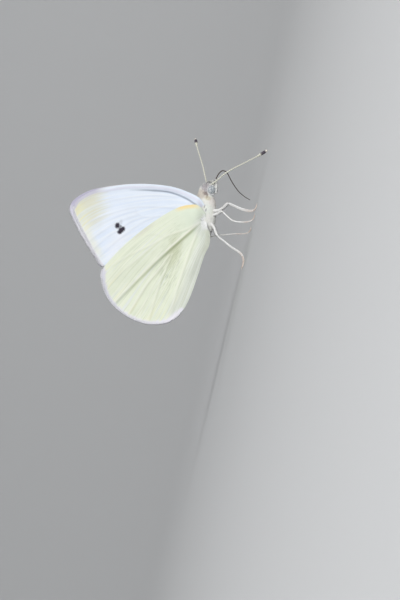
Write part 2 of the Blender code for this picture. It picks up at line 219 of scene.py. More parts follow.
class BUTTERFLY_PG_stage(PropertyGroup):
    floor: tint("Floor", "Colour of the floor and the backdrop", (0.74, 0.745, 0.75))
    key: FloatProperty(name="Key light", description="Strength of the main light", default=10.0,
                       min=0.0, unit="POWER")
    fill: FloatProperty(name="Fill light", description="Strength of the fill light", default=3.8,
                        min=0.0, unit="POWER")
    lens: FloatProperty(name="Lens", description="Focal length of the camera", default=142.1,
                        min=1.0, unit="CAMERA")


# ---------------------------------------------------------------------------------------------
# Curves, solids and meshes

def smooth_step(low, high, value):
    """0 below low, 1 above high, eased between."""
    t = np.clip((np.asarray(value, float) - low) / (high - low), 0.0, 1.0)
    return t * t * (3 - 2 * t)


def hill(distance, width):
    """1 at no distance, falling to nothing over a few widths."""
    return np.exp(-(np.asarray(distance, float) / width) ** 2)


def curve_through(points, count, before=None, after=None):
    """Count points evenly spaced along a Catmull-Rom curve, with how far along each knot lies."""
    knots = np.array(points, float)
    first = 2 * knots[0] - knots[1] if before is None else np.array(before, float)
    last = 2 * knots[-1] - knots[-2] if after is None else np.array(after, float)
    knots = np.vstack([first, knots, last])
    steps = 16
    t = np.linspace(0, 1, steps, endpoint=False)[:, None]
    fine = [0.5 * (2 * b + (c - a) * t + (2 * a - 5 * b + 4 * c - d) * t ** 2
                   + (3 * b - a - 3 * c + d) * t ** 3)
            for a, b, c, d in zip(knots, knots[1:], knots[2:], knots[3:])]
    fine = np.vstack(fine + [knots[-2]])
    reach = np.concatenate([[0], np.cumsum(np.linalg.norm(np.diff(fine, axis=0), axis=1))])
    want = np.linspace(0, reach[-1], count)
    even = np.column_stack([np.interp(want, reach, column) for column in fine.T])
    return even, reach[::steps] / reach[-1]


def distance_to(points, line):
    """Shortest distance from each point to a line of points."""
    best = np.full(len(points), 1e9)
    for a, b in zip(line, line[1:]):
        along = b - a
        t = np.clip((points - a) @ along / (along @ along), 0, 1)
        best = np.minimum(best, np.linalg.norm(points - a - t[:, None] * along, axis=1))
    return best


def solid_faces(*nodes):
    """A tree of the solids' faces for casting rays, in millimetres about the mid-plane."""
    corners, faces = [], []
    for node in nodes:
        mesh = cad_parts[node].data
        first = len(corners)
        corners += [(v.co.x / MM, v.co.y / MM - MID_PLANE, v.co.z / MM) for v in mesh.vertices]
        faces += [[first + i for i in face.vertices] for face in mesh.polygons]
    return BVHTree.FromPolygons(corners, faces)


def places(verts):
    """Where corners are, as an array."""
    return np.array([v.co for v in verts])


def move_to(verts, where):
    for vert, place in zip(verts, where):
        vert.co = place


def in_metres(where):
    """Millimetres about the mid-plane as metres about the origin, with nothing under the floor."""
    where = (np.asarray(where) + (0, MID_PLANE, 0)) * MM
    where[..., 2] = np.maximum(where[..., 2], 0.0)
    return where


def new_piece(name, bm, materials, replaced=(), attributes=None):
    """A bmesh in millimetres becomes a finished piece in metres that stands for the given nodes.

    A sphere or a spin lists its faces in another order each run. They are sorted by their corners,
    so that hairs scattered over them always have the same places.
    """
    bm.verts.index_update()
    bm.faces.sort(key=lambda face: face.verts[0].index * len(bm.verts) + face.verts[2].index)
    move_to(bm.verts, in_metres(places(bm.verts)))
    mesh = bpy.data.meshes.new(name)
    bm.to_mesh(mesh)
    bm.free()
    for key, values in (attributes or {}).items():
        mesh.attributes.new(key, "FLOAT", "POINT").data.foreach_set("value", values)
    return dress(name, mesh, materials, replaced)


def dress(name, mesh, materials, replaced=()):
    """A finished mesh becomes a piece that rides on the still body."""
    mesh.shade_smooth()
    for material in materials:
        mesh.materials.append(material)
    piece = bpy.data.objects.new(name, mesh)
    bpy.context.scene.collection.objects.link(piece)
    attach(piece, "root")
    if replaced:
        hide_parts(*replaced)
    return piece


# ---------------------------------------------------------------------------------------------
# Materials

def linear(colour):
    """A screen colour as the light it stands for."""
    c = np.asarray(colour, float)
    return np.where(c <= 0.04045, c / 12.92, ((c + 0.055) / 1.055) ** 2.4)


class Paint:
    """A material whose colour and relief are built up from nodes, in millimetres on the piece."""

    def __init__(self, name, roughness, **shader_values):
        self.material = bpy.data.materials.new(name)
        self.material.use_nodes = True
        self.tree = self.material.node_tree
        self.shader = self.tree.nodes["Principled BSDF"]
        self.shader.inputs["Roughness"].default_value = roughness
        for key, value in shader_values.items():
            self.shader.inputs[key.replace("_", " ")].default_value = value
        coordinates = self.tree.nodes.new("ShaderNodeTexCoord")
        to_mm = self.tree.nodes.new("ShaderNodeMapping")
        to_mm.inputs["Scale"].default_value = (1 / MM, 1 / MM, 1 / MM)
        to_mm.inputs["Location"].default_value = (0, -MID_PLANE, 0)
        self.tree.links.new(coordinates.outputs["Object"], to_mm.inputs["Vector"])
        self.place = to_mm.outputs["Vector"]

    def put(self, socket, value):
        """Feed an input from another node, or set its value."""
        if isinstance(value, bpy.types.NodeSocket):
            self.tree.links.new(value, socket)
        else:
            socket.default_value = value

    def colour(self, value):
        """A screen colour made ready for an input; another node's output stays as it is."""
        if isinstance(value, bpy.types.NodeSocket):
            return value
        return (*linear(value), 1.0)

    def attribute(self, name):
        """A value that the mesh carries at each corner."""
        node = self.tree.nodes.new("ShaderNodeAttribute")
        node.attribute_name = name
        return node.outputs["Fac"]

    def maths(self, operation, a, b=0.0):
        node = self.tree.nodes.new("ShaderNodeMath")
        node.operation = operation
        self.put(node.inputs[0], a)
        self.put(node.inputs[1], b)
        return node.outputs[0]

    def times(self, a, b):
        return self.maths("MULTIPLY", a, b)

    def shake(self, noise, amount):
        """Noise about its middle, from minus half the amount to half of it."""
        return self.times(self.maths("SUBTRACT", noise, 0.5), amount)

    def between(self, low, high, value):
        """0 where the value is low, 1 where it is high; low may be the greater of the two."""
        node = self.tree.nodes.new("ShaderNodeMapRange")
        node.interpolation_type = "SMOOTHSTEP"
        self.put(node.inputs["Value"], value)
        flip = low > high
        node.inputs["From Min"].default_value = min(low, high)
        node.inputs["From Max"].default_value = max(low, high)
        node.inputs["To Min"].default_value = float(flip)
        node.inputs["To Max"].default_value = float(not flip)
        return node.outputs["Result"]

    def mix(self, share, a, b, blend="MIX"):
        node = self.tree.nodes.new("ShaderNodeMix")
        node.data_type = "RGBA"
        node.blend_type = blend
        self.put(node.inputs["Factor"], share)
        self.put(node.inputs[6], self.colour(a))
        self.put(node.inputs[7], self.colour(b))
        return node.outputs[2]

    def over(self, colour, share, strength, other, blend="MIX"):
        """Another colour laid over a colour, in a share weakened by a strength."""
        return self.mix(self.times(share, strength), colour, other, blend)

    def shifted(self, scale, location=(0, 0, 0)):
        """The place on the piece, scaled and moved."""
        node = self.tree.nodes.new("ShaderNodeMapping")
        self.put(node.inputs["Vector"], self.place)
        node.inputs["Scale"].default_value = scale
        node.inputs["Location"].default_value = location
        return node.outputs["Vector"]

    def noise(self, size, detail=2.0, stretch=(1, 1, 1)):
        """Soft noise with patches of the given size in millimetres."""
        node = self.tree.nodes.new("ShaderNodeTexNoise")
        self.put(node.inputs["Vector"], self.shifted([1 / (size * s) for s in stretch]))
        node.inputs["Scale"].default_value = 1.0
        node.inputs["Detail"].default_value = detail
        return node.outputs["Fac"]

    def streaks(self, across, along, detail=2.0):
        """Soft noise drawn out from a wing's root to its margin, so many across it and along it."""
        join = self.tree.nodes.new("ShaderNodeCombineXYZ")
        self.put(join.inputs["X"], self.times(self.attribute("across"), across))
        self.put(join.inputs["Y"], self.times(self.attribute("along"), along))
        node = self.tree.nodes.new("ShaderNodeTexNoise")
        self.put(node.inputs["Vector"], join.outputs["Vector"])
        node.inputs["Scale"].default_value = 1.0
        node.inputs["Detail"].default_value = detail
        return node.outputs["Fac"]

    def cells(self, size, stretch=(1, 1, 1)):
        """Distance from the middle of each small cell, as of scales or facets."""
        node = self.tree.nodes.new("ShaderNodeTexVoronoi")
        self.put(node.inputs["Vector"], self.shifted([1 / (size * s) for s in stretch]))
        node.inputs["Scale"].default_value = 1.0
        return node.outputs["Distance"]

    def near(self, x, z, across, tall, wobble=0.0, wobble_size=0.3):
        """How far a place is from (x, z) seen from the side, 1 on an oval of the given radii.

        Wobble makes the oval ragged, in patches of the wobble's size.
        """
        scale = (1 / across, 0, 1 / tall)
        moved = self.shifted(scale, (-x / across, 0, -z / tall))
        node = self.tree.nodes.new("ShaderNodeVectorMath")
        node.operation = "LENGTH"
        self.put(node.inputs[0], moved)
        far = node.outputs["Value"]
        if wobble:
            far = self.maths("ADD", far, self.shake(self.noise(wobble_size), wobble))
        return far

    def patch(self, x, z, across, tall, soft=0.5, wobble=0.4, wobble_size=0.3):
        """1 in the middle of an oval patch, fading across its edge."""
        return self.between(1 + soft / 2, 1 - soft / 2, self.near(x, z, across, tall, wobble, wobble_size))

    def relief(self, height, depth, strength=1.0):
        """Raise the surface by height times depth millimetres."""
        node = self.tree.nodes.new("ShaderNodeBump")
        node.inputs["Strength"].default_value = strength
        node.inputs["Distance"].default_value = depth * MM
        self.put(node.inputs["Height"], height)
        self.put(self.shader.inputs["Normal"], node.outputs["Normal"])

    def finish(self, colour):
        """The material, with its colour set."""
        self.put(self.shader.inputs["Base Color"], self.colour(colour))
        return self.material


def scale_relief(paint):
    """The fine overlapping scales of a wing."""
    scales = paint.cells(0.09, (1.6, 1, 1.6))
    grain = paint.noise(0.35, 3.0)
    paint.relief(paint.maths("ADD", scales, grain), 0.012, 0.6)


def worn(paint, colour, amount=0.5):
    """Uneven scaling: soft clouds and a fine speckle."""
    cloud = paint.between(0.35, 0.75, paint.noise(1.9, 3.0))
    colour = paint.over(colour, cloud, 0.10 * amount, (0.80, 0.82, 0.80), "MULTIPLY")
    speck = paint.between(0.62, 0.80, paint.noise(0.16, 2.0))
    return paint.over(colour, speck, 0.14 * amount, (0.62, 0.65, 0.62), "MULTIPLY")


def forewing_underside(wings):
    """Cool white with a pale yellow tip, a lilac leading edge, pale veins partly painted as a highlight
    with painted shade beside them, painted shadow along the groove, and the spot.
    """
    paint = Paint("forewing underside", 0.62)
    pale = paint.between(0.35, 0.7, paint.streaks(26, 1.6))
    colour = paint.mix(pale, wings.forewing, (0.940, 0.966, 1.0))
    lead, edge = paint.attribute("lead"), paint.attribute("edge")
    ragged = paint.shake(paint.streaks(34, 0.8), 1.3)
    tip = paint.between(1.5, 0.5, paint.maths("ADD", paint.near(0.6, 32.3, 4.4, 4.0), ragged))
    yellow = paint.mix(paint.between(3.2, 0.6, edge), wings.apex, (0.935, 0.925, 0.755))
    yellow = paint.mix(paint.between(0.48, 0.62, paint.streaks(46, 1.4)), yellow, (0.90, 0.915, 0.87))
    colour = paint.over(colour, tip, 0.92, yellow)
    rear = paint.patch(-5.4, 23.6, 3.6, 2.2, 1.4, 0.5, 1.5)
    colour = paint.over(colour, rear, 0.55, (0.965, 0.975, 1.0))
    low = paint.times(paint.between(2.2, 0.8, edge), paint.patch(-5.8, 29.2, 3.4, 3.6, 0.9))
    colour = paint.over(colour, low, 0.55, (0.945, 0.94, 0.85))
    # pale veins, in part a painted highlight along their raised ridges
    colour = paint.over(colour, paint.attribute("vein"), 0.45, (0.965, 0.975, 0.99))
    # painted shade in the hollow beside each vein, on its side away from the light
    colour = paint.over(colour, paint.attribute("shade"), 0.20, (0.66, 0.70, 0.78), "MULTIPLY")
    # painted shadow along the groove under the rolled leading edge
    colour = paint.over(colour, paint.attribute("groove"), 0.85, (0.56, 0.58, 0.63), "MULTIPLY")
    core = paint.times(paint.between(0.22, 0.42, lead), paint.between(0.95, 0.70, lead))
    core = paint.times(core, paint.patch(6.0, 16.0, 9.0, 15.0, 0.6, 0.0))
    colour = paint.over(colour, core, 0.55, (0.87, 0.86, 0.92))
    band = paint.times(paint.between(0.70, 0.35, lead), paint.patch(1.8, 32.6, 3.9, 3.6, 0.8, 0.0))
    colour = paint.over(colour, band, 0.85, wings.tip)
    colour = paint.mix(paint.between(0.65, 0.20, edge), colour, wings.border)
    colour = worn(paint, colour)
    spot = 0.0
    for oval in FOREWING_SPOT:
        spot = paint.maths("MAXIMUM", spot, paint.patch(*oval, 0.8, 0.8, 0.22))
    for *oval, depth in SPOT_HAZE:
        spot = paint.maths("MAXIMUM", spot, paint.times(paint.patch(*oval, 0.9, 0.5, 0.3), depth))
    colour = paint.mix(spot, colour, wings.spot)
    scale_relief(paint)
    return paint.finish(colour)


def hindwing_underside(wings):
    """Streaky yellow-green with pale veins partly painted as a highlight and painted shade beside them,
    painted shade in a hollow, grey and pale streaks of painted light and shade on the inner edge's soft
    fold lines, painted shade where the border curves, a yellow streak at its root and a lilac border.
    """
    paint = Paint("hindwing underside", 0.65)
    edge, hinge = paint.attribute("edge"), paint.attribute("hinge")
    colour = paint.mix(paint.between(9.0, 1.0, hinge), wings.hindwing, (0.895, 0.930, 0.855))
    pale = paint.times(paint.between(0.50, 0.70, paint.streaks(30, 1.4)), paint.between(5.0, 12.0, hinge))
    colour = paint.over(colour, pale, 0.65, (0.925, 0.945, 0.935))
    yellow = paint.times(paint.between(0.50, 0.36, paint.streaks(24, 1.2)), paint.between(7.0, 1.5, edge))
    colour = paint.over(colour, yellow, 0.6, (0.955, 0.955, 0.815))
    fine_streaks = ((75, 1.2, 0.50, (0.985, 0.985, 0.93)), (95, 2.2, 0.42, (0.80, 0.83, 0.72)))
    for across, along, strength, streaked in fine_streaks:
        fine = paint.between(0.52, 0.68, paint.streaks(across, along))
        colour = paint.over(colour, paint.times(fine, paint.between(3.0, 9.0, hinge)), strength, streaked)
    dust = paint.times(paint.patch(-5.4, 13.6, 5.4, 1.8, 1.4, 0.7, 1.0),
                       paint.between(0.42, 0.66, paint.streaks(120, 16, 3.0)))
    colour = paint.over(colour, dust, 0.50, (0.68, 0.71, 0.60), "MULTIPLY")
    # painted shade in a shallow hollow of the wing below the main vein
    hollow = paint.patch(-3.9, 13.4, 2.8, 1.1, 1.3, 0.4, 0.8)
    colour = paint.over(colour, hollow, 0.50, (0.79, 0.81, 0.66))
    # pale veins, in part a painted highlight along their raised ridges
    colour = paint.over(colour, paint.attribute("vein"), 0.75, (0.985, 0.99, 0.93))
    # painted shade in the hollow beside each vein, deepest under the main vein
    colour = paint.over(colour, paint.attribute("shade"), 0.32, (0.66, 0.69, 0.55), "MULTIPLY")
    lead = paint.attribute("lead")
    tan = paint.times(paint.between(1.3, 0.3, lead), paint.patch(-1.0, 20.2, 2.4, 2.2, 1.2))
    colour = paint.over(colour, tan, 0.40, (0.84, 0.83, 0.74))
    streak = paint.times(paint.between(1.0, 0.25, lead), paint.patch(4.9, 12.9, 1.7, 1.9, 1.0, 0.3))
    colour = paint.over(colour, streak, 0.80, (1.0, 0.885, 0.58))
    inner = paint.attribute("inner")
    # pale along the inner edge, streaked with painted light and shade where the wing lies in soft fold
    # lines
    creased = paint.between(0.4, 0.65, paint.streaks(60, 1.0))
    pale_edge_and_fold_shading = paint.mix(creased, (0.83, 0.85, 0.80), (0.91, 0.925, 0.905))
    colour = paint.over(colour, paint.between(3.4, 1.4, inner), 0.75, pale_edge_and_fold_shading)
    flap = paint.times(paint.between(1.1, 0.6, inner), paint.between(9.0, 6.0, hinge))
    colour = paint.over(colour, flap, 0.6, (0.86, 0.875, 0.80))
    downy = paint.patch(2.1, 8.7, 0.9, 0.8, 1.0, 0.5)
    colour = paint.over(colour, downy, 0.6, (0.93, 0.93, 0.95))
    knob = paint.near(3.05, 9.5, 0.30, 0.30)
    ring = paint.times(paint.between(0.45, 0.70, knob), paint.between(1.25, 0.95, knob))
    colour = paint.over(colour, ring, 0.55, (0.42, 0.42, 0.44))
    ragged = paint.maths("ADD", edge, paint.shake(paint.streaks(40, 2.0), 0.9))
    border = paint.between(1.10, 0.45, ragged)
    colour = paint.mix(border, colour, wings.border)
    # painted shade on the border near the hindwing's apex, where the wing curves
    border_curve_shade = paint.times(border, paint.patch(-13.5, 23.5, 4.0, 4.0, 1.0))
    colour = paint.over(colour, border_curve_shade, 0.55, (0.80, 0.80, 0.86))
    colour = worn(paint, colour, 0.8)
    scale_relief(paint)
    return paint.finish(colour)


def upper_side(wings, name, tip):
    """The inner faces of the closed wings, white with a grey forewing tip."""
    paint = Paint(name, 0.65, Sheen_Weight=0.1)
    colour = worn(paint, wings.upper, 0.6)
    if tip:
        mask = paint.patch(1.6, 33.4, 4.2, 5.0, 0.7, 0.4, 0.8)
        colour = paint.over(colour, mask, 0.9, wings.tip)
        spot = paint.patch(-2.1, 24.6, 0.75, 0.85, 0.4, 0.3, 0.3)
        colour = paint.mix(spot, colour, (0.25, 0.24, 0.27))
    base = paint.between(4.5, 0.5, paint.attribute("hinge"))
    colour = paint.over(colour, base, 0.6, (0.60, 0.61, 0.63))
    rim = paint.between(1.1, 0.5, paint.attribute("edge"))
    if tip:
        rim = paint.times(rim, paint.maths("SUBTRACT", 1.0, paint.times(mask, 0.6)))
    colour = paint.mix(rim, colour, wings.border)
    scale_relief(paint)
    return paint.finish(colour)


def fringe_material(wings):
    """The border's colour, greyer on some scales."""
    paint = Paint("wing fringe", 0.6)
    colour = paint.mix(paint.attribute("tone"), wings.border, (0.86, 0.86, 0.88))
    return paint.finish(colour)


def strands(paint, colour, share):
    """Darker locks of hair running along the body."""
    dark = paint.between(0.56, 0.42, paint.noise(0.17, 2.0, (2.8, 1, 1)))
    return paint.over(colour, dark, share, (0.66, 0.66, 0.68), "MULTIPLY")


def body_colours(paint, body):
    """Markings of the head and trunk, with painted shade along the back between the wings, the same on the
    skin and on the coat.
    """
    colour = paint.mix(paint.between(0.35, 0.7, paint.noise(0.9, 3.0)), body.cream, (0.975, 0.975, 0.945))
    rosy = paint.patch(6.6, 8.3, 1.0, 0.8, 1.0, 0.4)
    colour = paint.over(colour, rosy, 0.5, (0.98, 0.94, 0.92))
    green = paint.patch(5.3, 8.9, 1.0, 0.7, 1.0, 0.4)
    colour = paint.over(colour, green, 0.5, (0.94, 0.97, 0.93))
    crown = paint.patch(9.0, 10.3, 1.15, 0.75, 0.7, 0.4)
    colour = paint.over(colour, crown, 0.8, body.grey)
    collar = paint.patch(7.7, 10.9, 0.9, 1.1, 0.8, 0.4)
    colour = paint.over(colour, collar, 0.8, (0.82, 0.78, 0.73))
    brown = paint.maths("MAXIMUM", paint.patch(8.02, 10.02, 0.32, 0.46, 0.9, 1.2, 0.22),
                        paint.patch(7.68, 9.62, 0.46, 0.17, 0.9, 1.0, 0.22))
    colour = paint.over(colour, brown, 0.8, body.brown)
    olive = paint.patch(7.25, 9.4, 0.42, 0.6, 0.8, 0.5)
    colour = paint.over(colour, olive, 0.55, (0.82, 0.77, 0.64))
    dusky = paint.times(paint.patch(9.9, 9.75, 0.75, 0.75, 0.8, 0.4),
                        paint.between(0.42, 0.56, paint.noise(0.22, 2.0, (2.4, 1, 1))))
    colour = paint.over(colour, dusky, 0.75, (0.40, 0.40, 0.43))
    cheek = paint.patch(8.35, 8.45, 0.5, 0.4, 0.7, 0.4)
    colour = paint.over(colour, cheek, 0.6, (0.74, 0.76, 0.76))
    for x, z in ((5.6, 9.65), (4.95, 9.25)):
        speck = paint.patch(x, z, 0.32, 0.13, 1.0, 0.7, 0.2)
        colour = paint.over(colour, speck, 0.6, (0.46, 0.46, 0.50))
    head = paint.times(paint.patch(9.5, 9.3, 1.5, 2.0, 0.6, 0.2), 0.55)
    colour = strands(paint, colour, paint.maths("ADD", head, 0.12))
    # painted shade along the back, between the roots of the closed wings
    back = paint.patch(2.6, 11.8, 4.6, 1.0, 1.0, 0.4)
    return paint.over(colour, back, 0.40, (0.62, 0.62, 0.62))


def skin_material(body):
    """The body's colours, a little duller under the coat."""
    paint = Paint("skin", 0.7)
    colour = body_colours(paint, body)
    colour = paint.mix(0.08, colour, (0.70, 0.69, 0.66))
    paint.relief(paint.noise(0.12, 3.0), 0.03, 0.6)
    return paint.finish(colour)


def coat_material(body, name, whiten=0.0):
    """The body's colours on hair, a little darker at the roots and from hair to hair."""
    paint = Paint(name, 0.55, Sheen_Weight=0.2)
    colour = body_colours(paint, body)
    if whiten:
        colour = paint.mix(whiten, colour, (0.97, 0.97, 0.96))
    root = paint.between(0.35, 0.0, paint.attribute("tip"))
    colour = paint.over(colour, root, 0.08, (0.70, 0.69, 0.66), "MULTIPLY")
    colour = paint.over(colour, paint.attribute("tone"), 0.08, (0.74, 0.73, 0.70), "MULTIPLY")
    return paint.finish(colour)


# ---------------------------------------------------------------------------------------------
# Wings

WING_ACROSS, WING_ALONG = 170, 84
# For each wing: how far the membrane lies below its solid's outer face, how far from the mid-plane its
# root stands, and how fast it may lean out from there
WING_SET = {"forewing": (0.10, 1.20, 0.28), "hindwing": (0.36, 1.32, 0.36)}
PLEAT_SMOOTHING = 30       # passes that ease a membrane between its veins
ROOT_SMOOTHING = 12        # passes that ease its root
ROOT_REACH = 4.5           # how far from the hinge those reach
TAPER_FROM, TAPER_OVER = 26.0, 4.5   # heights over which the left forewing's longer reach grows
FRINGE_SCALES = 26         # for each millimetre of margin
BASE_HAIRS = 200
HINDWING_ROOT = (3.1, 0.0, 8.75)


def wing_places(edges, u, v):
    """Places between a wing's four edges: u runs from costa to inner edge, v from root to margin."""
    many = 400
    steps = np.linspace(0, 1, many)
    costa = curve_through(edges["costa"], many, after=edges["margin"][1])[0]
    inner = curve_through(edges["inner"], many, after=edges["margin"][-2])[0]
    margin = curve_through(edges["margin"], many, edges["costa"][-2], edges["inner"][-2])[0]

    def on(line, t):
        return np.column_stack([np.interp(t, steps, column) for column in line.T])

    u, v = u[:, None], v[:, None]
    root = costa[0] + (inner[0] - costa[0]) * u
    sides = on(costa, v[:, 0]) * (1 - u) + on(inner, v[:, 0]) * u
    ends = root * (1 - v) + on(margin, u[:, 0]) * v
    near = (costa[0] * (1 - u) + inner[0] * u) * (1 - v)
    far = (margin[0] * (1 - u) + margin[-1] * u) * v
    return sides + ends - near - far


def round_corner(u, v, u_end, radius, across, along):
    """Bring places near a corner of the outer margin in, so that the corner is round.

    u_end is the corner's u; across and along are the wing's width and length there.
    """
    a, b = np.abs(u - u_end) * across, (1 - v) * along
    inside = (a < radius) & (b < radius)
    da, db = radius - a, radius - b
    shrink = np.maximum(da, db) / np.maximum(np.hypot(da, db), 1e-9)
    a = np.where(inside, radius - da * shrink, a)
    b = np.where(inside, radius - db * shrink, b)
    return np.where(inside, np.abs(u_end - a / across), u), np.where(inside, 1 - b / along, v)


def plate_depth(tree, flat, side, middle):
    """How far out a wing's solid reaches at each place, read nearer its middle at the rim."""
    depth = np.empty(len(flat))
    for i, place in enumerate(flat):
        for pull in (0.0, 0.02, 0.04, 0.08, 0.15, 0.3):
            x, z = place + (middle - place) * pull
            hit = tree.ray_cast(Vector((x, side * 20, z)), Vector((0, -side, 0)))[0]
            if hit:
                break
        depth[i] = abs(hit.y)
    return depth


def wing_relief(flat, veins):
    """How high the veins stand at each place and how shaded the hollow behind each one is."""
    vein, shade = np.zeros(len(flat)), np.zeros(len(flat))
    for points, height, dark in veins:
        line = curve_through(points, 40)[0]
        taper = 0.55 + 0.45 * hill(np.linalg.norm(flat - line[0], axis=1), 14)
        vein = np.maximum(vein, height * taper * hill(distance_to(flat, line), 0.16 + 0.06 * height))
        behind = distance_to(flat + np.multiply(HOLLOW_TO_VEIN, 0.22 + 0.10 * height), line)
        shade = np.maximum(shade, dark * taper * hill(behind, 0.14 + 0.10 * height))
    return vein, shade


def reach_past(flat, hinge):
    """The left forewing's places, a little farther from its hinge than the right one's and led forward."""
    tipward = 0.4 + 0.6 * np.clip((flat[:, 1:] - TAPER_FROM) / TAPER_OVER, 0, 1)
    off = (flat - hinge) * (1 + (LEFT_REACH - 1) * tipward)
    lead = np.radians(LEFT_LEAD)
    return hinge + np.column_stack([cos(lead) * off[:, 0] + sin(lead) * off[:, 1],
                                    cos(lead) * off[:, 1] - sin(lead) * off[:, 0]])


def ease_depth(bm, verts, passes):
    """Smooth how far out places lie, leaving them where they are seen from the side."""
    for _ in range(passes):
        bmesh.ops.smooth_vert(bm, verts=verts, factor=0.5, use_axis_y=True)


def make_membrane(name, node, edges, veins, side, wings, materials):
    """A wing as a thin sheet within its solid, pleated along its veins, and the line of its margin.

    Its attributes serve its materials: how far each place is from the margin, the leading edge, the
    inner edge and the hinge, its share across and along the wing, where veins run, and where painted shade
    lies in their hollows and along the forewing's groove.
    """
    bm = bmesh.new()
    bmesh.ops.create_grid(bm, x_segments=WING_ACROSS, y_segments=WING_ALONG, size=0.5)
    grid = places(bm.verts)[:, :2] + 0.5
    u, v = grid[:, 0], grid[:, 1]
    rim = np.flatnonzero(v > 0.999)
    kind = "forewing" if edges is FOREWING else "hindwing"
    span = np.linalg.norm(np.subtract(edges["margin"][2], edges["costa"][0]))
    spread = np.linalg.norm(np.diff(edges["margin"], axis=0), axis=1).sum()
    inset = 0.85 * wings.fringe / MM / span     # room for the fringe within the solid's outline
    for corner, radius in ((0, 1.5 if side == RIGHT else 1.0), (1, 0.9)):
        u, v = round_corner(u, v, corner, radius, spread, span)
    flat = wing_places(edges, u, v * (1 - inset))
    attributes = {"hinge": np.linalg.norm(flat - edges["costa"][0], axis=1), "across": u, "along": v}
    for key, edge in (("edge", "margin"), ("lead", "costa"), ("inner", "inner")):
        attributes[key] = distance_to(flat, curve_through(edges[edge], 120)[0])
    vein, shade = wing_relief(flat, veins)
    rise = wings.relief / MM * vein
    if kind == "forewing":
        groove = curve_through(COSTAL_GROOVE, 60)[0]
        fade = 1 - smooth_step(19.0, 25.5, flat[:, 1])
        near = distance_to(flat, groove)
        rise += 0.10 * hill(attributes["lead"] - 0.5, 0.5) - 0.12 * hill(near, 0.20) * fade
        # where the painted shadow along the groove lies
        attributes["groove"] = hill(near, 0.17) * fade
    attributes["vein"], attributes["shade"] = np.clip(vein, 0, 1.6), np.clip(shade, 0, 2.4)

    hinge = np.add(edges["costa"][0], edges["inner"][0]) / 2
    if kind == "forewing" and side == LEFT:
        flat = reach_past(flat, hinge)
    sunk, joint, slope = WING_SET[kind]
    depth = plate_depth(solid_faces(node), flat, side, flat.mean(0)) - sunk
    move_to(bm.verts, np.column_stack([flat[:, 0], side * depth, flat[:, 1]]))
    ease_depth(bm, bm.verts, PLEAT_SMOOTHING)
    where = places(bm.verts)
    away = np.linalg.norm(flat - hinge, axis=1)
    depth = np.minimum(np.abs(where[:, 1]), joint + slope * away)
    where[:, 1] = side * (depth + rise * smooth_step(0.4, 2.0, away))
    move_to(bm.verts, where)
    ease_depth(bm, [vert for vert, far in zip(bm.verts, away) if far < ROOT_REACH], ROOT_SMOOTHING)
    margin = places(bm.verts)[rim[np.argsort(grid[rim, 0])]]
    bmesh.ops.recalc_face_normals(bm, faces=bm.faces)
    if sum(face.normal.y for face in bm.faces) * side < 0:
        bmesh.ops.reverse_faces(bm, faces=bm.faces)
    piece = new_piece(name, bm, materials, [node], attributes)
    thicken = piece.modifiers.new("membrane", "SOLIDIFY")
    thicken.thickness = wings.membrane
    thicken.offset = -1.0
    thicken.material_offset = 1
    return piece, margin


def make_fringe(name, rim, side, wings, material, slot):
    """Scales in a close row along a wing's outer margin."""
    count = int(FRINGE_SCALES * np.linalg.norm(np.diff(rim, axis=0), axis=1).sum())
    roots = curve_through(rim[::4], count)[0]
    along = np.gradient(roots, axis=0)
    along /= np.linalg.norm(along, axis=1)[:, None]
    out = np.cross(along, (0, 1, 0))
    inside = np.mean(rim, axis=0) + (8, 0, -8)
    out *= np.sign((out * (roots - inside)).sum(1).mean())
    jitter = RANDOM.normal(size=(count, 3))
    lie = out + along * 0.16 * jitter[:, :1]
    tone = np.clip(0.5 + 0.3 * jitter[:, 1], 0, 1)
    share = np.linspace(0.02, 0.98, count)
    swell = np.interp(share * 40, np.arange(41), RANDOM.uniform(0.88, 1.08, 41))
    lengths = wings.fringe / MM * RANDOM.uniform(0.88, 1.08, count) * swell
    if slot == "hindwing":
        for nick, depth in HINDWING_NICKS:
            lengths *= 1 - depth * hill(share - nick, 0.009)
    unwrap = np.column_stack([share, np.full(count, 0.5)])
    grow(name, roots - out * 0.10, np.tile((0, side, 0), (count, 1)), lie, lengths, widths=0.12,
         lifts=0.04, curls=0.0, unwrap=unwrap, tones=tone, material=material, cuts=1,
         downy=False)


def make_base_hair(name, piece, side, material):
    """Long soft hair that spreads from a hindwing's root over its base."""
    def wanted(where):
        away = np.linalg.norm((where - HINDWING_ROOT)[:, [0, 2]], axis=1)
        return hill(away, 0.55) * (where[:, 2] < 9.6)

    roots, out = scatter(piece, BASE_HAIRS, wanted)
    jitter = 0.12 * RANDOM.normal(size=(BASE_HAIRS, 3))
    lie = unit((roots - HINDWING_ROOT) * (1, 0, 1)) + jitter - (0.3, 0, 0)
    unwrap = np.column_stack([(roots[:, 0] + 19) / 40, roots[:, 2] / 40])
    lengths = RANDOM.uniform(0.4, 0.8, BASE_HAIRS)
    grow(name, roots, out * np.sign(out[:, 1:2] * side), lie, lengths, widths=0.045, lifts=0.07,
         curls=0.0, unwrap=unwrap, tones=hair_tones(BASE_HAIRS), material=material, tuft=8)


# ---------------------------------------------------------------------------------------------
# Coat

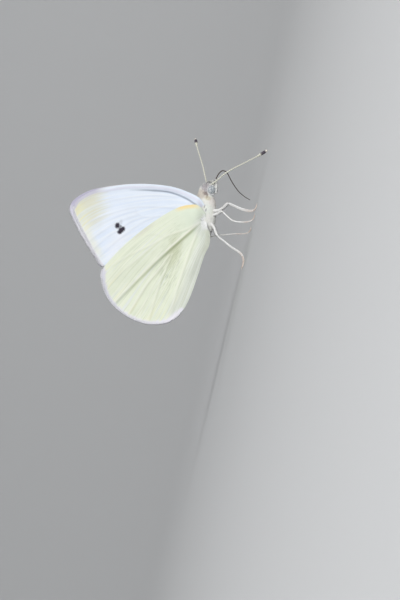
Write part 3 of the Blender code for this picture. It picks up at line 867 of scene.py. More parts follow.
def hair_shape(cuts):
    """One hair of length 1 along z: its corners and its faces. It narrows from root to tip."""
    bm = bmesh.new()
    bmesh.ops.create_cone(bm, cap_ends=True, segments=3, radius1=0.5, radius2=0.02, depth=1.0)
    bmesh.ops.translate(bm, verts=bm.verts, vec=(0, 0, 0.5))
    upright = [e for e in bm.edges if abs(e.verts[0].co.z - e.verts[1].co.z) > 0.5]
    bmesh.ops.subdivide_edges(bm, edges=upright, cuts=cuts)
    for vert in bm.verts:
        vert.co.x *= 1 + vert.co.z
        vert.co.y *= 1 + vert.co.z
    tip = [v for v in bm.verts if v.co.z > 0.999]
    bmesh.ops.pointmerge(bm, verts=tip, merge_co=(0, 0, 1))
    bmesh.ops.triangulate(bm, faces=bm.faces)
    bmesh.ops.recalc_face_normals(bm, faces=bm.faces)
    bm.verts.index_update()
    corners = places(bm.verts)
    faces = np.array([[v.index for v in face.verts] for face in bm.faces])
    bm.free()
    return corners, faces


def unit(vectors):
    """Vectors brought to length 1."""
    return vectors / np.maximum(np.linalg.norm(vectors, axis=-1, keepdims=True), 1e-9)


def hair_tones(count):
    """How dark each hair is, from 0 to 1 and mostly pale."""
    return RANDOM.beta(1.6, 2.6, count)


def tuft_pull(roots, tips, size):
    """How far each tip is drawn towards the tip of the hair that leads its tuft of the given size."""
    leaders = RANDOM.choice(len(roots), len(roots) // size + 1, replace=False)
    tree = KDTree(len(leaders))
    for i, leader in enumerate(leaders):
        tree.insert(roots[leader], i)
    tree.balance()
    nearest = leaders[[tree.find(root)[1] for root in roots]]
    return (tips[nearest] - tips) * RANDOM.uniform(0.35, 0.85, (len(roots), 1))


def grow(name, roots, normals, lies, lengths, widths, lifts, curls, unwrap, tones, material,
         cuts=2, tuft=0, downy=True):
    """Hairs or narrow scales as one joined mesh, each hair flat against the skin.

    Each leaves its root at its lift above the skin, along its lie, and curls back towards the skin.
    Cuts is how many joints it bends at and tuft is how many hairs lean together. Downy ones are lit as
    one soft coat that lets light through.
    """
    shape, shape_faces = hair_shape(cuts)
    count, size = len(roots), len(shape)
    lengths, widths, lifts, curls = (np.broadcast_to(np.asarray(a, float), count)[:, None, None]
                                     for a in (lengths, widths, lifts, curls))
    normals = unit(normals)
    lies = unit(lies - normals * (lies * normals).sum(1)[:, None])
    across = np.cross(normals, lies)[:, None, :]
    up, on = normals[:, None, :], lies[:, None, :]
    t = shape[None, :, 2:3]
    rise = lengths * (np.sin(lifts) * t - curls * t ** 2)
    run = lengths * np.cos(lifts) * t
    corners = (roots[:, None, :] + up * (rise + 0.2 * widths * shape[None, :, 1:2]) + on * run
               + across * widths * shape[None, :, 0:1])
    if tuft:
        tip = int(np.argmax(shape[:, 2]))
        corners += tuft_pull(roots, corners[:, tip], tuft)[:, None, :] * t ** 2
    faces = (shape_faces[None] + np.arange(count)[:, None, None] * size).reshape(-1, 3)
    patch = 0.003
    uv = np.asarray(unwrap)[:, None, :] + patch * (shape[None, :, [0, 2]] * (1, 1) - (0, 0.5))
    mesh = bpy.data.meshes.new(name)
    mesh.vertices.add(count * size)
    mesh.vertices.foreach_set("co", in_metres(corners.reshape(-1, 3)).ravel())
    mesh.loops.add(len(faces) * 3)
    mesh.loops.foreach_set("vertex_index", faces.ravel())
    mesh.polygons.add(len(faces))
    mesh.polygons.foreach_set("loop_start", np.arange(0, len(faces) * 3, 3))
    mesh.polygons.foreach_set("loop_total", np.full(len(faces), 3))
    mesh.update(calc_edges=True)
    bake = mesh.uv_layers.new(name="OFBake")
    bake.data.foreach_set("uv", uv.reshape(-1, 2)[faces.ravel()].ravel())
    for key, values in (("tip", np.broadcast_to(t, (count, size, 1))),
                        ("tone", np.broadcast_to(np.asarray(tones)[:, None], (count, size)))):
        mesh.attributes.new(key, "FLOAT", "POINT").data.foreach_set("value", values.ravel())
    mesh.validate()
    piece = dress(name, mesh, [material])
    if downy:
        piece.visible_shadow = False
        round_out = unit(across * shape[None, :, 0:1] + up * (shape[None, :, 1:2] + 0.15))
        shading = unit(0.7 * up + 0.3 * round_out).reshape(-1, 3)
        mesh.normals_split_custom_set_from_vertices(shading.tolist())


def scatter(piece, count, wanted):
    """Random places on a piece: where, and the way out of the skin. wanted(places) is a weight."""
    mesh = piece.data
    mesh.calc_loop_triangles()
    corners = np.array([v.co for v in mesh.vertices]) / MM - (0, MID_PLANE, 0)
    normals = np.array([v.normal for v in mesh.vertices])
    faces = np.array([t.vertices for t in mesh.loop_triangles])
    a, b, c = (corners[faces[:, k]] for k in range(3))
    area = np.linalg.norm(np.cross(b - a, c - a), axis=1) * wanted((a + b + c) / 3)
    pick = RANDOM.choice(len(faces), count, p=area / area.sum())
    r, s = np.sqrt(RANDOM.random(count)), RANDOM.random(count)
    share = np.column_stack([1 - r, r * (1 - s), r * s])
    where = (corners[faces[pick]] * share[:, :, None]).sum(1)
    out = (normals[faces[pick]] * share[:, :, None]).sum(1)
    return where, unit(out)


# ---------------------------------------------------------------------------------------------
# Trunk

TRUNK_SIDES, TRUNK_RINGS = 72, 180
SEGMENT = 1.08             # length of one ring of the abdomen
GROOVE = 0.07              # depth of the groove between two rings
EYE_CLEARANCE = 0.30       # how far below an eye's surface the skin passes
HEAD_BACK = 8.0            # x behind which no eye reaches


def trunk_measures():
    """Stations along the trunk, its centre height at each and its radius all round each."""
    trunk, head = solid_faces("abdomen", "thorax", "head"), solid_faces("head")
    dressed = solid_faces("abdomen", "thorax", "head", "eye_left", "eye_right")
    tail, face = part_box("abdomen")[0].x / MM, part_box("head")[1].x / MM
    stations = np.linspace(tail, face, TRUNK_RINGS + 1)
    stations[0] += 0.02
    stations[-1] -= 0.02
    far = 12.0             # a ray's start, well outside the trunk

    def first_hit(tree, start, way):
        distance = tree.ray_cast(Vector(start), Vector(way))[3]
        return np.nan if distance is None else distance

    def mended(values):
        good = ~np.isnan(values)
        return np.interp(stations, stations[good], values[good])

    top = mended(np.array([far + 9 - first_hit(trunk, (x, 0.3, far + 9), (0, 0, -1)) for x in stations]))
    bottom = mended(np.array([first_hit(trunk, (x, 0.3, -far), (0, 0, 1)) - far for x in stations]))
    centre = (top + bottom) / 2
    angles = 2 * pi * np.arange(TRUNK_SIDES) / TRUNK_SIDES
    radius = np.empty((TRUNK_RINGS + 1, TRUNK_SIDES))
    for i, (x, z) in enumerate(zip(stations, centre)):
        for k, angle in enumerate(angles):
            way = Vector((0, cos(angle), sin(angle)))
            start = Vector((x, 0, z)) + way * far
            whole = far - first_hit(dressed, start, -way)
            if x > HEAD_BACK:
                bare = far - first_hit(head, start, -way)
                whole = whole - EYE_CLEARANCE if whole - bare > 0.05 else whole
            radius[i, k] = whole
    radius = np.column_stack([mended(column) for column in radius.T])
    return stations, centre, radius


def coat_depth(x):
    """How far the skin lies inside the solid's surface."""
    return np.interp(x, [-7.7, -2.0, 1.2, 3.5, 7.4, 8.6, 10.2], [0.08, 0.10, 0.14, 0.18, 0.18, 0.12, 0.08])


def make_skin(body):
    """One skin over head, thorax and abdomen."""
    stations, centre, radius = trunk_measures()
    radius = radius - coat_depth(stations)[:, None]
    tail = 1 - smooth_step(0.2, 1.2, stations)     # 1 on the abdomen, whose rings have grooves
    phase = ((stations - stations[0]) / SEGMENT) % 1.0
    radius -= (GROOVE * tail * hill(phase - 0.5, 0.16))[:, None]
    radius = np.maximum(radius, 0.08)
    bm = bmesh.new()
    bmesh.ops.create_uvsphere(bm, u_segments=TRUNK_SIDES, v_segments=TRUNK_RINGS, radius=1.0)
    ball = places(bm.verts)
    row = np.rint(TRUNK_RINGS * (1 - np.arccos(np.clip(ball[:, 2], -1, 1)) / pi)).astype(int)
    column = np.rint(np.arctan2(ball[:, 1], ball[:, 0]) / (2 * pi) * TRUNK_SIDES).astype(int) % TRUNK_SIDES
    pole = (row == 0) | (row == TRUNK_RINGS)
    r = np.where(pole, 0.0, radius[row, column])
    angle = 2 * pi * column / TRUNK_SIDES
    move_to(bm.verts, np.column_stack([stations[row], r * np.cos(angle), centre[row] + r * np.sin(angle)]))
    for _ in range(2):
        bmesh.ops.smooth_vert(bm, verts=bm.verts, factor=0.5, use_axis_x=True, use_axis_y=True,
                              use_axis_z=True)
    bmesh.ops.recalc_face_normals(bm, faces=bm.faces)
    return new_piece("body_skin", bm, [skin_material(body)], ["head", "thorax", "abdomen"])


def trunk_unwrap(where):
    """Place on an unwrap of the trunk: round it and along it."""
    centre = np.interp(where[:, 0], [-7.7, -1.0, 8.0, 10.3], [9.5, 8.5, 9.8, 9.1])
    round_it = np.arctan2(where[:, 2] - centre, where[:, 1]) / (2 * pi) + 0.5
    along = (where[:, 0] + 7.8) / 18.2
    return np.column_stack([0.01 + 0.98 * round_it, 0.01 + 0.98 * np.clip(along, 0, 1)])


def eye_span(word):
    """The middle of an eye and half its size each way."""
    low, high = (np.array(corner) / MM - (0, MID_PLANE, 0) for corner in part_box("eye_" + word))
    return (low + high) / 2, (high - low) / 2


def from_the_eyes(where):
    """How far a place is from the nearer eye's axis, 1 on the eye's rim."""
    far = [np.linalg.norm(((where - middle) / half) * (1, 0.45, 1), axis=1)
           for middle, half in (eye_span(word) for _, word in SIDES)]
    return np.minimum(*far)


# Each coat: how many hairs, between which x and above which z they grow, their length setting and its
# share, width, lift, curl, cuts along a hair and hairs in a tuft
Coat = namedtuple("Coat", "hairs back front low setting share width lift curl cuts tuft")
COATS = {
    "abdomen_coat": Coat(12000, -8.0, 1.6, 0.0, "abdomen_hair", 1.0, 0.09, 0.16, 0.05, 1, 0),
    "thorax_underfur": Coat(18000, 1.0, 8.2, 0.0, "thorax_hair", 0.55, 0.11, 0.20, 0.08, 1, 6),
    "thorax_coat": Coat(11500, 1.2, 8.1, 0.0, "thorax_hair", 1.0, 0.07, 0.30, 0.14, 2, 12),
    "collar_coat": Coat(3800, 7.2, 8.6, 10.1, "thorax_hair", 1.75, 0.055, 0.32, 0.08, 2, 26),
    "head_coat": Coat(11500, 7.9, 10.4, 0.0, "head_hair", 1.0, 0.045, 0.50, 0.22, 2, 10),
    "crest": Coat(900, 9.2, 10.3, 9.2, "head_hair", 2.2, 0.045, 0.75, 0.05, 2, 26),
}


def make_coat(skin, body):
    """Scales of the abdomen and fur of the thorax, collar and head.

    All lie back along the body but those of the collar, the crest and the face, which lie forward.
    Hair stands longer on the crown and in the ruff behind it, and short and flat beside the eyes.
    """
    fur = coat_material(body, "fur")
    for name, coat in COATS.items():
        count = int(coat.hairs * body.density)

        def wanted(where):
            x, z = where[:, 0], where[:, 2]
            return (from_the_eyes(where) >= 0.98) & (x > coat.back) & (x < coat.front) & (z > coat.low)

        roots, out = scatter(skin, count, wanted)
        x, above = roots[:, 0], out[:, 2]
        noise = RANDOM.normal(size=(count, 3))
        if name in ("collar_coat", "crest"):
            lie = np.tile((1.0, 0.0, -0.1), (count, 1)) + 0.16 * noise
        else:
            back_lie = np.column_stack([-np.ones(count), np.zeros(count), -0.35 * np.abs(out[:, 1])])
            face_lie = np.column_stack([np.full(count, 0.9), 0.2 * np.sign(roots[:, 1]),
                                        0.7 * np.sign(above)])
            facing = smooth_step(8.1, 8.7, x)[:, None]
            lie = back_lie * (1 - facing) + face_lie * facing + 0.20 * noise
        lengths = coat.share * getattr(body, coat.setting) / MM * RANDOM.uniform(0.6, 1.15, count)
        crown = smooth_step(9.1, 9.7, x) * smooth_step(-0.3, 0.4, above) * (name == "head_coat")
        ruff = hill(x - 7.9, 0.7) * smooth_step(0.1, 0.8, above)
        beside = hill(from_the_eyes(roots) - 1.0, 0.45) * (name in ("head_coat", "crest"))
        lengths *= (1 + 0.25 * ruff + 1.1 * crown) * (1 - 0.7 * beside)
        lifts = (coat.lift + 0.25 * ruff + 0.35 * crown) * (1 - 0.6 * beside) + 0.07 * noise[:, 0]
        tones = hair_tones(count)
        widths = coat.width * RANDOM.uniform(0.7, 1.2, count)
        grow(name, roots - out * 0.03, out, lie, lengths, widths, lifts, coat.curl, trunk_unwrap(roots),
             tones, fur, coat.cuts, coat.tuft)


# ---------------------------------------------------------------------------------------------
# Tubes: legs, feelers, palps and tongue

def frames_along(points, side, count):
    """Centres, ways forward and two ways out along a curve, with the share of each knot."""
    centres, knots = curve_through([(x, side * y, z) for x, y, z in points], count)
    ahead = unit(np.gradient(centres, axis=0))
    ups = np.empty_like(centres)
    up = Vector((0, 0, 1)).cross(Vector(ahead[0])).normalized()
    last = Vector(ahead[0])
    for i, way in enumerate(ahead):
        up = last.rotation_difference(Vector(way)) @ up
        last = Vector(way)
        ups[i] = up
    return centres, ahead, ups, np.cross(ahead, ups), knots


def tube(points, side, radii, rings, sides):
    """A round limb along its points, closed and rounded at both ends, and how far along each corner is.

    radii(t, knots) gives its radius at each share t of its length; knots are the points' own shares.
    """
    bm = bmesh.new()
    bmesh.ops.create_uvsphere(bm, u_segments=sides, v_segments=rings, radius=1.0)
    ball = places(bm.verts)
    t = np.round(1 - np.arccos(np.clip(ball[:, 2], -1, 1)) / pi, 6)
    centres, _, ups, outs, knots = frames_along(points, side, rings + 1)
    row = np.rint(t * rings).astype(int)
    r = radii(np.linspace(0, 1, rings + 1), knots)
    r[0] = r[-1] = 0.0
    r[1], r[-2] = 0.75 * r[1], 0.75 * r[-2]
    angle = np.arctan2(ball[:, 1], ball[:, 0])
    offset = ups[row] * np.cos(angle)[:, None] + outs[row] * np.sin(angle)[:, None]
    move_to(bm.verts, centres[row] + offset * r[row][:, None])
    bmesh.ops.recalc_face_normals(bm, faces=bm.faces)
    return bm, t


def grow_along(name, points, side, radii, count, size, width, lift, spread, material, tuft=0):
    """Hairs all over a limb, lying towards its tip; spread(t, knots) is how thickly they grow.

    Those near the tip stand out a little forward, so that the end is rounded off.
    """
    many = 200
    centres, ahead, ups, outs, knots = frames_along(points, side, many)
    t = np.linspace(0, 1, many)
    weight = spread(t, knots)
    pick = RANDOM.choice(many, count, p=weight / weight.sum())
    turn = RANDOM.uniform(0, 2 * pi, count)
    out = ups[pick] * np.cos(turn)[:, None] + outs[pick] * np.sin(turn)[:, None]
    left = (1 - t[pick]) * np.linalg.norm(np.diff(centres, axis=0), axis=1).sum()
    out = unit(out + 0.8 * ahead[pick] * (1 - smooth_step(0.0, 1.8, left)[:, None]))
    roots = centres[pick] + out * radii(t, knots)[pick][:, None] * 0.9
    lie = ahead[pick] + 0.15 * RANDOM.normal(size=(count, 3))
    unwrap = np.column_stack([turn / (2 * pi), t[pick]]) * 0.98 + 0.01
    tones = hair_tones(count)
    lengths = size * RANDOM.uniform(0.6, 1.15, count)
    lifts = lift + 0.12 * RANDOM.normal(size=count)
    grow(name, roots, out, lie, lengths, width, lifts, curls=0.12, unwrap=unwrap, tones=tones,
         material=material, cuts=1, tuft=tuft)


def leg_material(legs):
    """White above, beige towards the foot."""
    paint = Paint("leg", 0.5)
    foot = paint.between(0.62, 0.80, paint.attribute("along"))
    colour = paint.mix(foot, legs.white, legs.beige)
    mottled = paint.between(0.5, 0.8, paint.noise(0.3, 2.0))
    colour = paint.mix(mottled, colour, (0.88, 0.85, 0.81), "MULTIPLY")
    paint.relief(paint.cells(0.07), 0.01, 0.6)
    return paint.finish(colour)


def leg_coat_material(legs):
    """White scales, some a little darker."""
    paint = Paint("leg scales", 0.5, Sheen_Weight=0.2)
    colour = paint.over(legs.white, paint.attribute("tone"), 0.3, (0.84, 0.82, 0.78))
    return paint.finish(colour)


def make_leg(name, side, legs, skin, scales):
    """A jointed leg, downy to the knee and scaly below it, with two claws."""
    spec = LEGS[name]
    tarsus = legs.tarsus / MM
    points = [(x, y, z if z > SOLE + 0.01 else tarsus) for x, y, z in spec["points"]]

    def radii(t, knots):
        knee, ankle = knots[spec["knee"]], knots[spec["ankle"]]
        thick = legs.femur / MM
        r = thick - (thick - legs.tibia / MM) * smooth_step(knee - 0.04, knee + 0.05, t)
        r -= (legs.tibia / MM - tarsus) * smooth_step(ankle - 0.03, ankle + 0.03, t)
        r *= 1 - 0.28 * hill(t - knee, 0.018) - 0.25 * hill(t - ankle, 0.012)
        foot = (t - ankle) / (1 - ankle)
        for joint in (0.42, 0.60, 0.75, 0.88):
            r *= 1 - 0.28 * hill((foot - joint) * (1 - ankle), 0.006)
        return r * (1 + 0.25 * hill(t, 0.08))

    bm, along = tube(points, side, radii, rings=110, sides=14)
    new_piece(name + "_skin", bm, [skin], [name], {"along": along})

    def downy(t, knots):
        return 1.0 - smooth_step(knots[spec["knee"]] - 0.06, knots[spec["knee"]] + 0.03, t)

    def scaly(t, knots):
        return 1.0 - 0.75 * smooth_step(knots[spec["ankle"]] - 0.05, knots[spec["ankle"]] + 0.05, t)

    grow_along(name + "_fur", points, side, radii, count=2600, size=legs.fuzz / MM, width=0.04,
               lift=0.50, spread=downy, material=scales, tuft=10)
    grow_along(name + "_coat", points, side, radii, count=1500, size=0.20, width=0.06, lift=0.22,
               spread=scaly, material=scales)
    make_claws(name, points, side, skin)


def make_claws(name, points, side, skin):
    """Two small hooked claws that end a foot."""
    before, end = np.array(points[-2:]) * (1, side, 1)
    ahead = unit(end - before)
    across = unit(np.cross(ahead, (0, 0, 1)))
    joined = bmesh.new()
    for turn in (-1, 1):
        hook = [end, end + ahead * 0.16 + across * 0.07 * turn + (0, 0, 0.02),
                end + ahead * 0.28 + across * 0.12 * turn - (0, 0, 0.05)]
        bm, _ = tube(hook, 1, lambda t, knots: 0.045 * (1 - 0.85 * t), rings=10, sides=6)
        mesh = bpy.data.meshes.new("claw")
        bm.to_mesh(mesh)
        bm.free()
        joined.from_mesh(mesh)
        bpy.data.meshes.remove(mesh)
    new_piece(name + "_claws", joined, [skin], (), {"along": np.ones(len(joined.verts))})


def feeler_material(head):
    """Banded shaft, dark club and pale tip."""
    paint = Paint("feeler", 0.55)
    t = paint.attribute("along")
    bands = paint.maths("SINE", paint.times(t, 2 * pi * FEELER_RINGS))
    pale = paint.between(-0.1, 0.6, bands)
    shaft = paint.over(head.feeler, pale, 0.75, head.feeler_pale)
    colour = paint.mix(paint.between(0.87, 0.91, t), shaft, (0.30, 0.26, 0.31))
    colour = paint.mix(paint.between(0.962, 0.975, t), colour, (0.93, 0.91, 0.86))
    mottled = paint.between(0.5, 0.8, paint.noise(0.12, 2.0))
    colour = paint.mix(mottled, colour, (0.75, 0.74, 0.74), "MULTIPLY")
    paint.relief(bands, 0.02, 0.5)
    return paint.finish(colour)


def make_feelers(head):
    """Ringed shafts that thicken to a club, each from a small ball in its socket."""
    material = feeler_material(head)
    socket = Paint("feeler socket", 0.5).finish((0.88, 0.88, 0.86))

    def radii(t, knots):
        shaft = 0.135 - 0.02 * smooth_step(0.1, 0.6, t)
        club = 0.17 * smooth_step(0.80, 0.90, t) * (1 - 0.55 * smooth_step(0.94, 1.0, t))
        ringed = 1 + 0.05 * np.sin(2 * pi * FEELER_RINGS * t)
        return (shaft + club) * ringed * (1 + 0.5 * hill(t, 0.012))

    for side, word in SIDES:
        bm, along = tube(FEELERS[word], side, radii, rings=300, sides=14)
        new_piece("feeler_" + word, bm, [material], ["antenna_" + word], {"along": along})
        bm = bmesh.new()
        bmesh.ops.create_uvsphere(bm, u_segments=24, v_segments=16, radius=0.17)
        x, y, z = FEELERS[word][0]
        bmesh.ops.translate(bm, verts=bm.verts, vec=(x + 0.12, side * (y + 0.14), z - 0.08))
        new_piece("feeler_socket_" + word, bm, [socket])


def make_palps(body):
    """Upturned palps in front of the face, bristling with white scales."""
    white = coat_material(body, "palp fur", 0.85)
    skin = Paint("palp skin", 0.6).finish((0.82, 0.82, 0.80))

    def radii(t, knots):
        return 0.19 + 0.04 * np.sin(pi * t) - 0.13 * smooth_step(0.75, 1.0, t)

    for side, word in SIDES:
        bm, along = tube(PALP, side, radii, rings=40, sides=14)
        new_piece("palp_skin_" + word, bm, [skin], ["palp_" + word], {"along": along})
        grow_along("palp_coat_" + word, PALP, side, radii, count=1600, size=0.40, width=0.04, lift=0.55,
                   spread=lambda t, knots: 1 - 0.4 * t, material=white, tuft=10)


def make_tongue(head):
    """The proboscis, uncurled and reaching down, finely ringed."""
    paint = Paint("tongue", 0.35)
    rings = paint.maths("SINE", paint.times(paint.attribute("along"), 2 * pi * TONGUE_RINGS))
    colour = paint.mix(paint.between(0.4, 0.7, paint.noise(0.8, 2.0)), head.tongue, (0.30, 0.24, 0.20))
    paint.relief(rings, 0.01, 0.6)
    material = paint.finish(colour)
    bm, along = tube(TONGUE, 1, lambda t, knots: 0.11 - 0.045 * t, rings=200, sides=14)
    new_piece("tongue", bm, [material], ["proboscis"], {"along": along})


# ---------------------------------------------------------------------------------------------
# Eyes

EYE_RIM = 0.97             # where the rim runs, as a share of the eye's radius
EYE_HAIRS = 420


def eye_material(head):
    """Pale, dappled and faceted, with streaks of painted highlight, under a thin gloss."""
    paint = Paint("compound eye", 0.22, Coat_Weight=0.4, Coat_Roughness=0.12)
    facets = paint.cells(0.034)
    spots = paint.between(0.40, 0.62, paint.noise(0.22, 2.0, (2.2, 1, 1)))
    colour = paint.mix(spots, head.eye, head.eye_dark)
    # streaks of painted highlight across the eye
    pale = paint.between(0.60, 0.70, paint.noise(0.17, 2.0, (2.6, 1, 1)))
    colour = paint.over(colour, pale, 0.8, (0.96, 0.97, 0.98))
    colour = paint.mix(paint.between(0.25, 0.5, facets), colour, (0.84, 0.84, 0.84), "MULTIPLY")
    paint.relief(facets, -0.008, 0.7)
    return paint.finish(colour)


def make_eyes(head):
    """Domed compound eyes of many facets, each in a pale rim with a ring of short white hair."""
    material = eye_material(head)
    rim = Paint("eye rim", 0.6).finish((0.82, 0.83, 0.83))
    paint = Paint("eye fur", 0.55)
    fur = paint.finish(strands(paint, (0.95, 0.955, 0.955), 0.8))
    for side, word in SIDES:
        middle, half = eye_span(word)
        bm = bmesh.new()
        bmesh.ops.create_icosphere(bm, subdivisions=6, radius=1.0)
        bmesh.ops.scale(bm, verts=bm.verts, vec=Vector(half))
        bmesh.ops.translate(bm, verts=bm.verts, vec=Vector(middle))
        new_piece("compound_eye_" + word, bm, [material], ["eye_" + word])
        make_eye_rim("eye_rim_" + word, middle, half, side, rim)
        make_eye_fur("eye_fur_" + word, middle, half, side, fur)


def make_eye_rim(name, middle, half, side, rim):
    """A thin ring round an eye, spun flat and stood up against the head."""
    stand = Matrix.Rotation(pi / 2, 3, "X")
    bm = bmesh.new()
    bmesh.ops.create_circle(bm, segments=10, radius=0.04)
    bmesh.ops.rotate(bm, verts=bm.verts, cent=(0, 0, 0), matrix=stand)
    bmesh.ops.translate(bm, verts=bm.verts, vec=(EYE_RIM, 0, 0))
    bmesh.ops.spin(bm, geom=bm.verts[:] + bm.edges[:], cent=(0, 0, 0), axis=(0, 0, 1),
                   angle=2 * pi, steps=64, use_merge=True)
    bmesh.ops.scale(bm, verts=bm.verts, vec=(half[0], half[2], 1.0))
    bmesh.ops.rotate(bm, verts=bm.verts, cent=(0, 0, 0), matrix=stand)
    bmesh.ops.translate(bm, verts=bm.verts, vec=Vector(middle) + Vector((0, side * 0.08, 0)))
    bmesh.ops.recalc_face_normals(bm, faces=bm.faces)
    new_piece(name, bm, [rim])


def make_eye_fur(name, middle, half, side, fur):
    """Short hair that leans outwards and back all round an eye's rim."""
    turn = RANDOM.uniform(0, 2 * pi, EYE_HAIRS)
    ring = np.column_stack([np.cos(turn), np.zeros(EYE_HAIRS), np.sin(turn)])
    sideways = np.outer(RANDOM.uniform(-0.12, 0.10, EYE_HAIRS), (0, side, 0))
    lie = ring + 0.25 * RANDOM.normal(size=(EYE_HAIRS, 3)) - (0.3, 0, 0)
    lengths = RANDOM.uniform(0.16, 0.32, EYE_HAIRS)
    unwrap = np.column_stack([turn / (2 * pi), np.full(EYE_HAIRS, 0.5)])
    grow(name, middle + ring * half * EYE_RIM + sideways, np.tile((0, side, 0), (EYE_HAIRS, 1)), lie,
         lengths, widths=0.045, lifts=0.15, curls=0.1, unwrap=unwrap, tones=hair_tones(EYE_HAIRS),
         material=fur, tuft=5)


# ---------------------------------------------------------------------------------------------
# Stage

# Lamps: place in metres, size, and share of the key's or the fill's strength
LAMPS = {
    "key": ((0.75, -1.10, 0.65), 0.8, "key", 1.0),
    "fill": ((-0.45, -1.10, 0.50), 0.9, "fill", 0.6),
    "low fill": ((0.05, -0.55, 0.16), 0.28, "fill", 0.14),
    "back": ((0.30, 1.00, 0.90), 0.8, "fill", 0.7),
}
LAMPS_AIM = (0, 0, 0.015)
ROOM_LIGHT = 0.48
FLOOR_FLAT, FLOOR_BEND, BACKDROP = 0.50, 1.30, 1.5   # radius of flat and bend and height, in metres


def add_lamp(name, place, size, power):
    """A round soft lamp that shines on the butterfly."""
    light = bpy.data.lights.new(name, "AREA")
    light.shape = "DISK"
    light.size = size
    light.energy = power
    lamp = bpy.data.objects.new(name, light)
    lamp.location = place
    lamp.rotation_mode = "QUATERNION"
    lamp.rotation_quaternion = (Vector(LAMPS_AIM) - Vector(place)).to_track_quat("-Z", "Y")
    bpy.context.scene.collection.objects.link(lamp)


def make_floor(stage):
    """A round floor that curves up into a backdrop."""
    bm = bmesh.new()
    bend = [(FLOOR_FLAT + FLOOR_BEND * sin(a), FLOOR_BEND * (1 - cos(a)))
            for a in np.linspace(0, pi / 2, 25)]
    profile = [(0, 0), (FLOOR_FLAT / 2, 0), *bend, (FLOOR_FLAT + FLOOR_BEND, BACKDROP)]
    verts = [bm.verts.new((x, 0, z)) for x, z in profile]
    edges = [bm.edges.new(pair) for pair in zip(verts, verts[1:])]
    bmesh.ops.spin(bm, geom=verts + edges, cent=(0, 0, 0), axis=(0, 0, 1), angle=2 * pi, steps=96,
                   use_merge=True)
    bmesh.ops.remove_doubles(bm, verts=bm.verts, dist=1e-5)
    bmesh.ops.recalc_face_normals(bm, faces=bm.faces)
    if sum(face.normal.z for face in bm.faces) < 0:
        bmesh.ops.reverse_faces(bm, faces=bm.faces)
    mesh = bpy.data.meshes.new("floor")
    bm.to_mesh(mesh)
    bm.free()
    mesh.shade_smooth()
    mesh.materials.append(Paint("floor", 0.8).finish(stage.floor))
    floor = bpy.data.objects.new("floor", mesh)
    bpy.context.scene.collection.objects.link(floor)


def make_lights(stage):
    """The lamps and the light of a pale room."""
    for name, (place, size, setting, share) in LAMPS.items():
        add_lamp(name, place, size, share * getattr(stage, setting))
    world = bpy.data.worlds.new("pale room")
    world.use_nodes = True
    background = world.node_tree.nodes["Background"]
    background.inputs["Color"].default_value = (1.0, 1.0, 1.0, 1.0)
    background.inputs["Strength"].default_value = ROOM_LIGHT
    bpy.context.scene.world = world
    bpy.context.scene.view_settings.view_transform = "Standard"


def make_camera(stage):
    """The camera, turned with the butterfly."""
    data = bpy.data.cameras.new("camera")
    data.lens = stage.lens
    data.sensor_width = 36.0
    data.clip_start = 0.01
    data.clip_end = 10.0
    camera = bpy.data.objects.new("camera", data)
    up, back = Vector(CAMERA_UP).normalized(), Vector(CAMERA_BACK)
    turn = Matrix((up.cross(back), up, back)).transposed()
    camera.matrix_world = Matrix.Translation(Vector(CAMERA_PLACE) * MM) @ turn.to_4x4()
    bpy.context.scene.collection.objects.link(camera)
    bpy.context.scene.camera = camera


# ---------------------------------------------------------------------------------------------
# Operators

class BUTTERFLY_OT_wings(Operator):
    """Make the four wings with their veins and fringes"""
    bl_idname = "butterfly.wings"
    bl_label = "Wings"

    def execute(self, context):
        wings = context.scene.butterfly_wings
        kinds = (("forewing", FOREWING, FOREWING_VEINS, forewing_underside(wings),
                  upper_side(wings, "forewing upper side", True)),
                 ("hindwing", HINDWING, HINDWING_VEINS, hindwing_underside(wings),
                  upper_side(wings, "hindwing upper side", False)))
        fringe = fringe_material(wings)
        down = Paint("wing base hair", 0.55).finish((0.965, 0.968, 0.965))
        for kind, edges, veins, under, upper in kinds:
            for side, word in SIDES:
                membrane, rim = make_membrane(f"{kind}_membrane_{word}", f"{kind}_{word}", edges, veins,
                                              side, wings, [under, upper])
                make_fringe(f"{kind}_fringe_{word}", rim, side, wings, fringe, kind)
                if kind == "hindwing":
                    make_base_hair(f"{kind}_base_hair_{word}", membrane, side, down)
        return {"FINISHED"}


class BUTTERFLY_OT_body(Operator):
    """Make the skin of head, thorax and abdomen and its coat"""
    bl_idname = "butterfly.body"
    bl_label = "Body and coat"

    def execute(self, context):
        body = context.scene.butterfly_body
        make_coat(make_skin(body), body)
        make_palps(body)
        return {"FINISHED"}


class BUTTERFLY_OT_head(Operator):
    """Make the compound eyes, the feelers and the proboscis"""
    bl_idname = "butterfly.head"
    bl_label = "Eyes, feelers and tongue"

    def execute(self, context):
        head = context.scene.butterfly_head
        make_eyes(head)
        make_feelers(head)
        make_tongue(head)
        return {"FINISHED"}


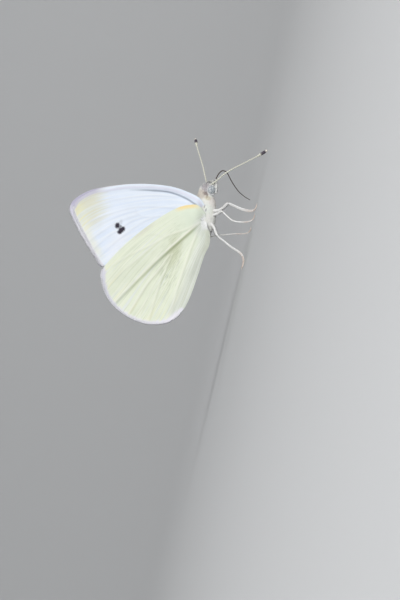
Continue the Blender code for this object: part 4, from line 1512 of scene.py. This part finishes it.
class BUTTERFLY_OT_legs(Operator):
    """Make the six legs with their scales and claws"""
    bl_idname = "butterfly.legs"
    bl_label = "Legs"

    def execute(self, context):
        legs = context.scene.butterfly_legs
        skin, scales = leg_material(legs), leg_coat_material(legs)
        for side, word in SIDES:
            for kind in ("foreleg_", "midleg_", "hindleg_"):
                make_leg(kind + word, side, legs, skin, scales)
        return {"FINISHED"}


class BUTTERFLY_OT_stage(Operator):
    """Make the floor, the lights and the camera"""
    bl_idname = "butterfly.stage"
    bl_label = "Stage"

    def execute(self, context):
        stage = context.scene.butterfly_stage
        make_floor(stage)
        make_lights(stage)
        make_camera(stage)
        return {"FINISHED"}


class BUTTERFLY_PT_panel(Panel):
    """The butterfly's pieces and their settings"""
    bl_idname = "BUTTERFLY_PT_panel"
    bl_label = "Small white butterfly"
    bl_space_type = "VIEW_3D"
    bl_region_type = "UI"
    bl_category = "Butterfly"

    def draw(self, context):
        for operator, settings in PIECES:
            box = self.layout.box()
            box.operator(operator.bl_idname)
            group = getattr(context.scene, settings)
            for key in group.__annotations__:
                box.prop(group, key)


PIECES = ((BUTTERFLY_OT_wings, "butterfly_wings"), (BUTTERFLY_OT_body, "butterfly_body"),
          (BUTTERFLY_OT_head, "butterfly_head"), (BUTTERFLY_OT_legs, "butterfly_legs"),
          (BUTTERFLY_OT_stage, "butterfly_stage"))
GROUPS = {"butterfly_wings": BUTTERFLY_PG_wings, "butterfly_body": BUTTERFLY_PG_body,
          "butterfly_head": BUTTERFLY_PG_head, "butterfly_legs": BUTTERFLY_PG_legs,
          "butterfly_stage": BUTTERFLY_PG_stage}
CLASSES = (*GROUPS.values(), *(operator for operator, _ in PIECES), BUTTERFLY_PT_panel)


def register():
    for cls in CLASSES:
        bpy.utils.register_class(cls)
    for name, group in GROUPS.items():
        setattr(bpy.types.Scene, name, PointerProperty(type=group))


def unregister():
    for name in GROUPS:
        delattr(bpy.types.Scene, name)
    for cls in reversed(CLASSES):
        bpy.utils.unregister_class(cls)


def main():
    register()
    bpy.ops.butterfly.stage()
    bpy.ops.butterfly.wings()
    bpy.ops.butterfly.body()
    bpy.ops.butterfly.head()
    bpy.ops.butterfly.legs()


if __name__ == "__main__":
    main()
